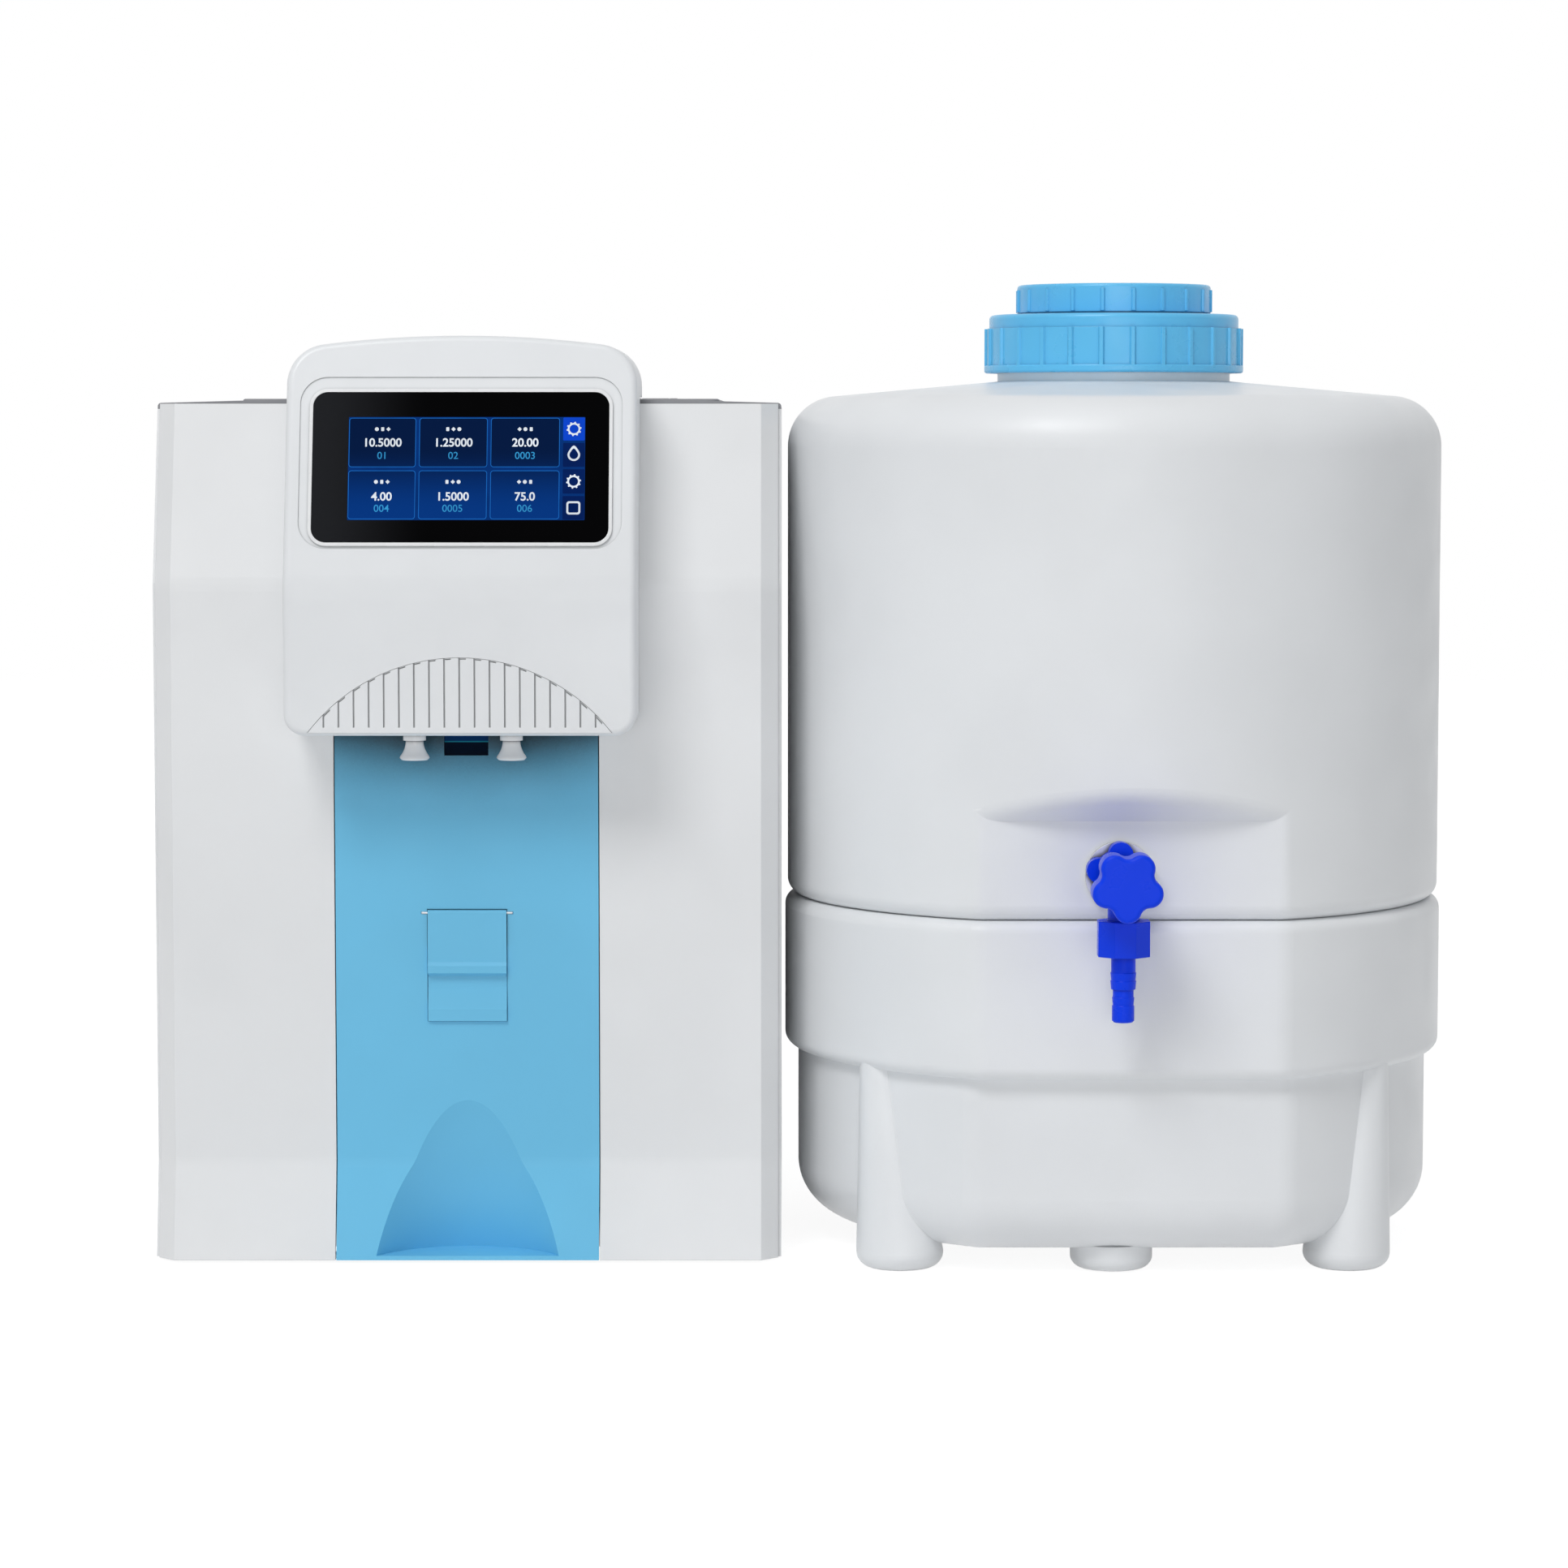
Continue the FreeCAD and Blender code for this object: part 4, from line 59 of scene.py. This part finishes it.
class Surface:
    """A node material that is built up step by step."""

    def __init__(self, name):
        self.material = bpy.data.materials.new(name)
        self.material.use_nodes = True
        self.tree = self.material.node_tree
        self.shader = self.tree.nodes["Principled BSDF"]
        self.coordinates = self.add("ShaderNodeTexCoord").outputs
        self.painted = None
        self.normal = None

    def add(self, kind, **values):
        """A new node. Each value is one of its own settings or one of its inputs."""
        node = self.tree.nodes.new(kind)
        for key, value in values.items():
            if hasattr(node, key):
                setattr(node, key, value)
            else:
                node.inputs[key].default_value = value
        return node

    def link(self, output, target):
        self.tree.links.new(output, target)

    def set(self, **values):
        for key, value in values.items():
            self.shader.inputs[key.replace("_", " ")].default_value = value

    def axis(self, letter, kind="Object"):
        """One coordinate: Object is in metres, Generated runs from 0 to 1 over the piece."""
        split = self.add("ShaderNodeSeparateXYZ")
        self.link(self.coordinates[kind], split.inputs[0])
        return split.outputs[letter]

    def noise(self, scale, detail=3.0, roughness=0.5, stretch=None):
        """Noise with about scale cells a metre, finer along the axes that stretch names."""
        source = self.coordinates["Object"]
        if stretch:
            mapping = self.add("ShaderNodeMapping", Scale=stretch)
            self.link(source, mapping.inputs["Vector"])
            source = mapping.outputs["Vector"]
        node = self.add("ShaderNodeTexNoise", Scale=scale, Detail=detail, Roughness=roughness)
        self.link(source, node.inputs["Vector"])
        return node.outputs["Fac"]

    def band(self, source, low, high, first=0, second=1):
        """first where source is at low, second where it is at high, with a smooth change between."""
        node = self.add("ShaderNodeMapRange", interpolation_type="SMOOTHSTEP")
        for key, value in (("From Min", low), ("From Max", high), ("To Min", first), ("To Max", second)):
            node.inputs[key].default_value = value
        self.link(source, node.inputs["Value"])
        return node.outputs["Result"]

    def blend(self, factor, first, second, mode="MIX"):
        """A colour between first and second. Each of the three is a value or a node's output."""
        mix = self.add("ShaderNodeMix", data_type="RGBA", blend_type=mode)
        for value, number in ((factor, 0), (first, 6), (second, 7)):
            target = mix.inputs[number]
            if isinstance(value, bpy.types.NodeSocket):
                self.link(value, target)
            else:
                target.default_value = value
        return mix.outputs[2]

    def paint(self, base, other, source, low=0.35, high=0.65):
        """Base colour that goes from base to other as source rises from low to high."""
        self.painted = self.blend(self.band(source, low, high), base, other)
        self.link(self.painted, self.shader.inputs["Base Color"])

    def paint_occlusion_shade(self, reach, depth, above=None):
        """Painted shade: grooves, corners and nooks narrower than reach get a darker base colour,
        standing in for the light they would lose.
        With above, only the part over that share of the piece's height is darkened."""
        closed, open_air, fade = 0.42, 0.96, 0.1
        around = self.add("ShaderNodeAmbientOcclusion", samples=16, Distance=reach)
        level = self.band(around.outputs["AO"], closed, open_air, 1 - depth, 1)
        grey = self.add("ShaderNodeCombineColor")
        for channel in ("Red", "Green", "Blue"):
            self.link(level, grey.inputs[channel])
        share = self.band(self.axis("Z", "Generated"), above - fade, above) if above else 1.0
        # the shade is painted into the base colour by multiplying it
        darker = self.blend(share, self.painted, grey.outputs["Color"], "MULTIPLY")
        self.link(darker, self.shader.inputs["Base Color"])

    def rough(self, source, low, high):
        self.link(self.band(source, 0.3, 0.7, low, high), self.shader.inputs["Roughness"])

    def round_edges(self, radius):
        """Edges read as slightly broken, as a mould leaves them."""
        self.normal = self.add("ShaderNodeBevel", samples=6, Radius=radius).outputs["Normal"]
        self.link(self.normal, self.shader.inputs["Normal"])

    def bump(self, source, height):
        node = self.add("ShaderNodeBump", Strength=1.0, Distance=height)
        self.link(source, node.inputs["Height"])
        if self.normal:
            self.link(self.normal, node.inputs["Normal"])
        self.normal = node.outputs["Normal"]
        self.link(self.normal, self.shader.inputs["Normal"])


def moulded(name, rgb, roughness, grain=0.01 * MM, grain_scale=1600, wave=0.0, drift=0.035,
            specular=0.5, occlusion_shade=0.0, occlusion_reach=4 * MM, occlusion_above=None, edge=0.0):
    """Injection or blow moulded plastic: fine grain, faint shade drift, uneven gloss, and when asked,
    painted shade in its nooks.
    """
    made = Surface(name)
    made.set(Specular_IOR_Level=specular)
    made.paint(rgb, shade(rgb, 1 - drift), made.noise(9, 2))
    # painted shade: the base colour is darkened where little of the surroundings is open
    if occlusion_shade:
        made.paint_occlusion_shade(occlusion_reach, occlusion_shade, occlusion_above)
    if edge:
        made.round_edges(edge)
    made.rough(made.noise(38, 4), roughness - 0.05, roughness + 0.06)
    if wave:
        made.bump(made.noise(14, 1), wave)
    made.bump(made.noise(grain_scale, 2), grain)
    return made.material


def metal(name, rgb, roughness, stretch):
    """Brushed metal, with streaks across the axis that stretch names."""
    made = Surface(name)
    made.set(Metallic=1.0)
    streak = made.noise(120, 4, 0.6, stretch)
    made.paint(rgb, shade(rgb, 0.82), streak, 0.3, 0.7)
    made.rough(streak, roughness - 0.06, roughness + 0.1)
    made.bump(streak, 0.02 * MM)
    return made.material


def rubber(name, rgb):
    """Dull rubber with a blotchy shade."""
    made = Surface(name)
    made.paint(rgb, shade(rgb, 0.75), made.noise(60, 4))
    made.rough(made.noise(90, 3), 0.7, 0.85)
    made.bump(made.noise(900, 3), 0.03 * MM)
    return made.material


def glossy(name, rgb, roughness):
    """Smooth skin without grain."""
    made = Surface(name)
    made.paint(rgb, shade(rgb, 0.9), made.noise(12, 2))
    made.rough(made.noise(25, 3), roughness * 0.7, roughness * 1.4)
    return made.material


def dark_pane(name):
    """A smooth pane that hardly mirrors its pale surroundings."""
    made = Surface(name)
    made.set(Specular_IOR_Level=0.02)
    made.rough(made.noise(25, 3), 0.09, 0.16)
    return made


def touch_glass(name, rgb, painted_sheen):
    """Black glass with a painted reflection: soft grey in its colour at the left end, fading away to
    black.
    """
    made = dark_pane(name)
    # painted reflection: grey at the left end, black from four tenths of the width on
    made.paint(painted_sheen, rgb, made.axis("X", "Generated"), 0.0, 0.4)
    return made.material


def sight_window(name, water, line, dark):
    """Dark window whose colours glow faintly as painted light, with a bright line under its blue upper
    part.
    """
    line_foot, line_top = (0.3054, 0.3058), (0.3061, 0.3066)
    made = dark_pane(name)
    lower = made.blend(made.band(made.axis("Z"), *line_foot), dark, line)
    made.painted = made.blend(made.band(made.axis("Z"), *line_top), lower, water)
    made.link(made.painted, made.shader.inputs["Base Color"])
    # painted glow: the window's colours are its emission too, though no lamp is behind it
    made.link(made.painted, made.shader.inputs["Emission Color"])
    made.set(Emission_Strength=0.06)
    return made.material


def glowing(name, rgb, strength=1.0, foot=None):
    """A lit part of the display. With foot, it turns to that colour at the display's lower end."""
    foot_end, foot_start = 0.440, 0.478
    made = Surface(name)
    made.set(Roughness=0.3, Specular_IOR_Level=0.0, Base_Color=(0.002, 0.002, 0.004, 1),
             Emission_Strength=strength)
    if foot:
        lit = made.blend(made.band(made.axis("Z"), foot_start, foot_end), rgb, foot)
    else:
        lit = made.blend(made.band(made.noise(60, 2), 0.35, 0.65), rgb, shade(rgb, 0.86))
    made.link(lit, made.shader.inputs["Emission Color"])
    return made.material


# a darkening strength for nooks in a look paints shade into its base colour (head, caps, tap, panel,
# nozzles)
LOOKS = {
    "unit_white": (moulded, (235, 236, 237), dict(roughness=0.36, edge=0.6 * MM)),
    "head_white": (moulded, (234, 236, 238), dict(roughness=0.33, occlusion_shade=0.35, edge=0.4 * MM)),
    "cover_white": (moulded, (232, 233, 234), dict(roughness=0.42, grain=0.03 * MM, grain_scale=700)),
    # cover_grey is the plastic of cover_white painted darker, as painted shade for the top cover
    "cover_grey": (moulded, (142, 143, 147), dict(roughness=0.42, grain=0.03 * MM, grain_scale=700)),
    # panel_blue: its darkening over the upper part, reaching 60 mm, is a painted shadow of the head
    # above
    "panel_blue": (moulded, (117, 200, 238), dict(roughness=0.34, drift=0.05, specular=0.2, occlusion_shade=0.97,
                                                  occlusion_reach=60 * MM, occlusion_above=0.72)),
    "bezel_silver": (moulded, (238, 239, 240), dict(roughness=0.28, edge=0.5 * MM)),
    # nozzle_white: the darkening near the head and collars is painted shade
    "nozzle_white": (moulded, (240, 240, 241), dict(roughness=0.22, occlusion_shade=0.85, edge=0.4 * MM)),
    "tank_white": (moulded, (238, 240, 242), dict(roughness=0.4, grain=0.02 * MM, grain_scale=900,
                                                  wave=0.4 * MM, edge=0.8 * MM)),
    # neck_white: the tank's plastic made paler and brighter, painted light against the cap's shadow
    "neck_white": (moulded, (244, 250, 252), dict(roughness=0.36)),
    "cap_blue": (moulded, (96, 198, 248), dict(roughness=0.3, grain=0.02 * MM, grain_scale=1100,
                                               drift=0.06, occlusion_shade=0.25, edge=0.6 * MM)),
    "tap_blue": (moulded, (0, 62, 240), dict(roughness=0.28, grain_scale=900, drift=0.08, specular=0.16,
                                             occlusion_shade=0.4, occlusion_reach=6 * MM, edge=0.7 * MM)),
    "cartridge_white": (moulded, (228, 230, 232), dict(roughness=0.5)),
    "coupler_blue": (moulded, (60, 110, 190), dict(roughness=0.45)),
    "pump_black": (moulded, (36, 37, 40), dict(roughness=0.5, grain=0.03 * MM, grain_scale=500)),
    "inner_grey": (moulded, (150, 154, 158), dict(roughness=0.5)),
    "inlet_black": (moulded, (26, 27, 29), dict(roughness=0.42, grain=0.03 * MM, grain_scale=600)),
    "float_white": (moulded, (235, 235, 236), dict(roughness=0.5)),
    "rear_paint": (moulded, (214, 216, 219), dict(roughness=0.5, grain=0.05 * MM, grain_scale=420)),
    "board_green": (glossy, (24, 92, 52), dict(roughness=0.3)),
    "tube_clear": (glossy, (226, 231, 236), dict(roughness=0.2)),
    "lamp_quartz": (glossy, (214, 226, 240), dict(roughness=0.08)),
    # glass_black's grey at its left end is a painted reflection
    "glass_black": (touch_glass, (2, 2, 3), dict(painted_sheen=colour(34, 35, 38))),
    "window_dark": (sight_window, (4, 48, 94), dict(line=colour(24, 112, 134), dark=colour(0, 14, 34))),
    "steel": (metal, (196, 198, 201), dict(roughness=0.32, stretch=(1, 1, 60))),
    "supply_metal": (metal, (190, 192, 194), dict(roughness=0.4, stretch=(60, 1, 1))),
    "rubber_black": (rubber, (28, 28, 29), {}),
    "seal_rubber": (rubber, (214, 214, 216), {}),
}
# pieces whose look differs a little from that of their slot
OVERRIDES = {
    "head_front_shell": "head_white", "head_rear_shell": "head_white", "fluted_insert": "head_white",
    # the neck's brighter look is painted light
    "vessel_neck": "neck_white",
}
materials = {name: make(name, colour(*rgb), **options) for name, (make, rgb, options) in LOOKS.items()}

for part in frame["record"]["subparts"]:
    mesh = nodes[part["node"]].data
    mesh.materials.clear()
    mesh.materials.append(materials[OVERRIDES.get(part["node"], part["material_slot"])])


# ---------------------------------------------------------------- outlines and thin plates
UNIT = (-0.1987, -0.1595)
HEAD_REACH = 55 * MM
HEAD_BEND = 398 * MM
LEAN = math.radians(16)
# the leaning plane of the screen: x to the right, y up the slope, z out of the glass
SCREEN = (Matrix.Translation((UNIT[0], UNIT[1] - HEAD_REACH, HEAD_BEND))
          @ Matrix.Rotation(-LEAN, 4, "X") @ Matrix.Rotation(math.radians(90), 4, "X"))
GLASS_OUT = 0.35 * MM


def rounded(half_width, half_height, radius, steps=6):
    """Corner points of a rounded rectangle round the origin."""
    points = []
    for turn, (side, level) in enumerate(((1, 1), (-1, 1), (-1, -1), (1, -1))):
        for step in range(steps + 1):
            angle = math.radians(90 * turn + 90 * step / steps)
            points.append((side * (half_width - radius) + radius * math.cos(angle),
                           level * (half_height - radius) + radius * math.sin(angle)))
    return points


def ring(radius, count):
    return [(radius * math.cos(angle), radius * math.sin(angle))
            for angle in (2 * math.pi * n / count for n in range(count))]


def gear_outline(radius, tooth, count):
    """A gear: each tooth takes half of its pitch, with slanted flanks."""
    points = []
    for n in range(count):
        for share, out in ((0.0, 0), (0.12, 1), (0.38, 1), (0.5, 0), (0.66, 0), (0.84, 0)):
            angle = 2 * math.pi * (n + share) / count
            reach = radius - tooth + out * tooth
            points.append((reach * math.cos(angle), reach * math.sin(angle)))
    return points


def drop_outline(radius, count=48):
    """A ring that is drawn up into a point at its top."""
    round_share, point_share = 0.86, 0.45
    return [(radius * round_share * x, radius * (round_share * y + point_share * max(0.0, y) ** 6))
            for x, y in ring(1, count)]


def loop(mesh, outline, centre, height):
    """Vertices on an outline, that high over the glass."""
    return [mesh.verts.new(SCREEN @ Vector((centre[0] + x, centre[1] + y, GLASS_OUT + height)))
            for x, y in outline]


def join(mesh, first, second):
    """A strip of faces between two loops of as many vertices."""
    for n in range(len(first)):
        m = (n + 1) % len(first)
        mesh.faces.new((first[n], first[m], second[m], second[n]))


def plate(mesh, outline, centre, high, low=0.0):
    """A thin plate with that outline, from low to high over the glass."""
    bottom, top = loop(mesh, outline, centre, low), loop(mesh, outline, centre, high)
    mesh.faces.new(top)
    mesh.faces.new(bottom[::-1])
    join(mesh, bottom, top)


def frame_plate(mesh, outer, inner, centre, high):
    """A thin frame between two outlines of as many points."""
    loops = [loop(mesh, outline, centre, height)
             for outline, height in ((outer, 0), (outer, high), (inner, high), (inner, 0))]
    for first, second in zip(loops, loops[1:] + loops[:1]):
        join(mesh, first, second)


# ---------------------------------------------------------------- the lit display
ROOT = "unit_and_tank"
LEFT, RIGHT, BOTTOM, TOP = -64.5 * MM, 71.4 * MM, 39.7 * MM, 100.9 * MM
# the display is laid out on a grid that runs right and down from its upper left corner
GRID_WIDE, GRID_HIGH = 289.5, 127
COLUMNS = ((0.5, 82.5), (86.5, 170), (174, 258.5))
ROWS = ((1, 62), (66, 126))
KEY_COLUMN = (262.5, 289)
KEY_ROWS = ((0.5, 29), (32, 61.5), (64.5, 94.5), (97.5, 126.5))
VALUES = (("10.5000", "1.25000", "20.00"), ("4.00", "1.5000", "75.0"))
VALUE_DROP = (31, 32.5)
NUMBERS = (("01", "02", "0003"), ("004", "0005", "006"))
MARK_DROP, NUMBER_DROP = 14, 47
MARK_SIZE, VALUE_SIZE, NUMBER_SIZE = 1.15 * MM, 6.9 * MM, 6.0 * MM
FILL_HIGH, LINE_HIGH, ICON_HIGH = 0.02 * MM, 0.04 * MM, 0.05 * MM


def piece(name, mesh, material, body):
    thing = bpy.data.objects.new(name, mesh)
    bpy.context.scene.collection.objects.link(thing)
    mesh.materials.clear()
    mesh.materials.append(material)
    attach(thing, body)


def finish_mesh(name, mesh, material):
    bmesh.ops.recalc_face_normals(mesh, faces=mesh.faces)
    data = bpy.data.meshes.new(name)
    mesh.to_mesh(data)
    mesh.free()
    piece(name, data, material, ROOT)


def grid_point(x, y):
    return (LEFT + x * (RIGHT - LEFT) / GRID_WIDE, TOP - y * (TOP - BOTTOM) / GRID_HIGH)


def grid_box(across, down):
    """Centre, half width and half height of a box of the grid."""
    (ax, ay), (bx, by) = grid_point(across[0], down[0]), grid_point(across[1], down[1])
    return ((ax + bx) / 2, (ay + by) / 2), (bx - ax) / 2, (ay - by) / 2


def build_tiles():
    """A backlight with six framed tiles on it."""
    back, tiles, lines = bmesh.new(), bmesh.new(), bmesh.new()
    centre, half_width, half_height = grid_box((0, GRID_WIDE), (0, GRID_HIGH))
    plate(back, rounded(half_width, half_height, 0.4 * MM, 2), centre, 0, -0.3 * MM)
    border = 0.38 * MM
    for across in COLUMNS:
        for down in ROWS:
            centre, half_width, half_height = grid_box(across, down)
            outer = rounded(half_width, half_height, 1.7 * MM)
            inner = rounded(half_width - border, half_height - border, 1.35 * MM)
            frame_plate(lines, outer, inner, centre, LINE_HIGH)
            plate(tiles, inner, centre, FILL_HIGH)
    finish_mesh("screen_backlight", back, glowing("screen_back", colour(4, 52, 122), 0.95))
    finish_mesh("screen_tiles", tiles,
                glowing("screen_tile", colour(2, 26, 66), 0.9, foot=colour(3, 56, 132)))
    finish_mesh("screen_lines", lines, glowing("screen_line", colour(28, 108, 196), 0.95))


def build_keys(white):
    """A column of four keys, the first of them lit, each with an icon."""
    keys, lit, icons = bmesh.new(), bmesh.new(), bmesh.new()
    gear = gear_outline(4.3 * MM, 0.7 * MM, 10)
    gear_icon = (gear, ring(2.6 * MM, len(gear)))
    drop_icon = (drop_outline(4.2 * MM), drop_outline(2.9 * MM))
    box_icon = (rounded(4.0 * MM, 3.9 * MM, 1.6 * MM), rounded(2.9 * MM, 2.8 * MM, 0.8 * MM))
    for number, (down, icon) in enumerate(zip(KEY_ROWS, (gear_icon, drop_icon, gear_icon, box_icon))):
        centre, half_width, half_height = grid_box(KEY_COLUMN, down)
        outline = rounded(half_width, half_height, 0.5 * MM, 2)
        plate(lit if number == 0 else keys, outline, centre, FILL_HIGH)
        frame_plate(icons, *icon, centre, ICON_HIGH)
    finish_mesh("screen_keys", keys, glowing("screen_key", colour(3, 34, 96), 0.9))
    finish_mesh("screen_key_lit", lit, glowing("screen_key_lit", colour(12, 70, 205)))
    finish_mesh("screen_icons", icons, white)


def build_text(white):
    """On each tile a row of marks, a value under them and a number at the foot."""
    blue = glowing("screen_blue", colour(56, 160, 220), 0.9)
    for row, (start, _) in enumerate(ROWS):
        for column, across in enumerate(COLUMNS):
            place = "%d_%d" % (row, column)
            middle = sum(across) / 2
            write("screen_value_" + place, VALUES[row][column],
                  grid_point(middle, start + VALUE_DROP[row]), VALUE_SIZE, white, 0.14 * MM)
            marks = bmesh.new()
            add_marks(marks, grid_point(middle, start + MARK_DROP), row * len(COLUMNS) + column)
            finish_mesh("screen_label_" + place, marks, white)
            write("screen_foot_" + place, NUMBERS[row][column],
                  grid_point(middle, start + NUMBER_DROP), NUMBER_SIZE, blue, 0.02 * MM)


def add_marks(mesh, centre, kind):
    """Three small marks, round, square and pointed. Their order depends on kind."""
    outlines = (ring(MARK_SIZE, 16), rounded(MARK_SIZE * 0.75, MARK_SIZE, MARK_SIZE * 0.3, 2),
                ring(MARK_SIZE * 1.1, 4))
    for n in range(3):
        x = (n - 1) * MARK_SIZE * 2.9
        plate(mesh, outlines[(n + kind) % 3], (centre[0] + x, centre[1]), LINE_HIGH)


def write(name, text, centre, size, material, weight):
    """Text in Blender's own face, centred on a point of the screen and turned into a mesh."""
    curve = bpy.data.curves.new(name, "FONT")
    curve.body = text
    curve.size = size
    curve.align_x = "CENTER"
    curve.align_y = "CENTER"
    curve.extrude = 0.02 * MM
    curve.offset = weight
    maker = bpy.data.objects.new(name + "_curve", curve)
    bpy.context.scene.collection.objects.link(maker)
    bpy.context.view_layer.update()
    mesh = bpy.data.meshes.new_from_object(maker.evaluated_get(bpy.context.evaluated_depsgraph_get()))
    bpy.data.objects.remove(maker)
    mesh.transform(SCREEN @ Matrix.Translation((centre[0], centre[1], GLASS_OUT + 0.03 * MM)))
    mesh.name = name
    piece(name, mesh, material, ROOT)


screen_white = glowing("screen_white", colour(232, 240, 248))
build_tiles()
build_keys(screen_white)
build_text(screen_white)


# ---------------------------------------------------------------- floor, light and camera
def add_shader(tree, kind, **values):
    node = tree.nodes.new(kind)
    for key, value in values.items():
        node.inputs[key].default_value = value
    return node


def split_rays(tree, own, seen, output_kind):
    """Camera, glossy and transmission rays meet the shader seen, and all others meet own."""
    paths = tree.nodes.new("ShaderNodeLightPath").outputs
    seen_ray = paths["Is Camera Ray"]
    for other in ("Is Glossy Ray", "Is Transmission Ray"):
        larger = tree.nodes.new("ShaderNodeMath")
        larger.operation = "MAXIMUM"
        tree.links.new(seen_ray, larger.inputs[0])
        tree.links.new(paths[other], larger.inputs[1])
        seen_ray = larger.outputs[0]
    mix = tree.nodes.new("ShaderNodeMixShader")
    tree.links.new(seen_ray, mix.inputs[0])
    tree.links.new(own.outputs[0], mix.inputs[1])
    tree.links.new(seen.outputs[0], mix.inputs[2])
    output = tree.nodes.new(output_kind)
    tree.links.new(mix.outputs[0], output.inputs["Surface"])


def build_floor():
    """A pale floor. Seen, it is white with the object's shadow on it."""
    half = 6
    mesh = bpy.data.meshes.new("floor")
    mesh.from_pydata([(-half, -half, 0), (half, -half, 0), (half, half, 0), (-half, half, 0)], [],
                     [(0, 1, 2, 3)])
    floor = bpy.data.objects.new("floor", mesh)
    bpy.context.scene.collection.objects.link(floor)
    material = bpy.data.materials.new("floor")
    material.use_nodes = True
    tree = material.node_tree
    tree.nodes.clear()
    own = add_shader(tree, "ShaderNodeBsdfDiffuse", Color=(0.92, 0.92, 0.92, 1))
    shadowed = add_shader(tree, "ShaderNodeBsdfDiffuse", Color=(0.25, 0.25, 0.25, 1))
    lift = add_shader(tree, "ShaderNodeEmission", Strength=0.92)
    seen = tree.nodes.new("ShaderNodeAddShader")
    tree.links.new(shadowed.outputs[0], seen.inputs[0])
    tree.links.new(lift.outputs[0], seen.inputs[1])
    split_rays(tree, own, seen, "ShaderNodeOutputMaterial")
    mesh.materials.append(material)


def build_world():
    """White surroundings that give little light of their own."""
    world = bpy.data.worlds.new("studio")
    bpy.context.scene.world = world
    world.use_nodes = True
    tree = world.node_tree
    tree.nodes.clear()
    own = add_shader(tree, "ShaderNodeBackground", Color=(0.96, 0.98, 1.0, 1), Strength=0.34)
    seen = add_shader(tree, "ShaderNodeBackground", Color=(1, 1, 1, 1))
    split_rays(tree, own, seen, "ShaderNodeOutputWorld")


def softbox(name, place, target, width, height, watts):
    light = bpy.data.lights.new(name, "AREA")
    light.shape = "RECTANGLE"
    light.size = width
    light.size_y = height
    light.energy = watts
    lamp = bpy.data.objects.new(name, light)
    bpy.context.scene.collection.objects.link(lamp)
    lamp.location = place
    lamp.rotation_euler = (Vector(target) - Vector(place)).to_track_quat("-Z", "Y").to_euler()


def build_camera():
    """A camera whose lens suits a square frame. The horizon lies horizon_rise over its middle, so the
    camera tilts down.
    """
    frame_side, focal_length, horizon_rise = 1932, 5709, 444
    data = bpy.data.cameras.new("camera")
    data.sensor_width = 36
    data.lens = data.sensor_width * focal_length / frame_side
    data.clip_end = 50
    camera = bpy.data.objects.new("camera", data)
    bpy.context.scene.collection.objects.link(camera)
    camera.location = (-0.0131, -2.8595, 0.4913)
    camera.rotation_euler = (math.radians(90) - math.atan(horizon_rise / focal_length), 0, 0)
    bpy.context.scene.camera = camera


build_floor()
build_world()
softbox("key_light", (-2.6, -5.2, 6.7), (0, 0, 0.25), width=3.4, height=2.6, watts=290)
softbox("top_fill", (0.2, -0.7, 3.4), (0.15, 0, 0.3), width=2.4, height=1.8, watts=10)
softbox("front_fill", (0.4, -7.5, 0.75), (0, 0, 0.25), width=4.0, height=1.4, watts=46)
build_camera()
bpy.context.scene.view_settings.view_transform = "Standard"
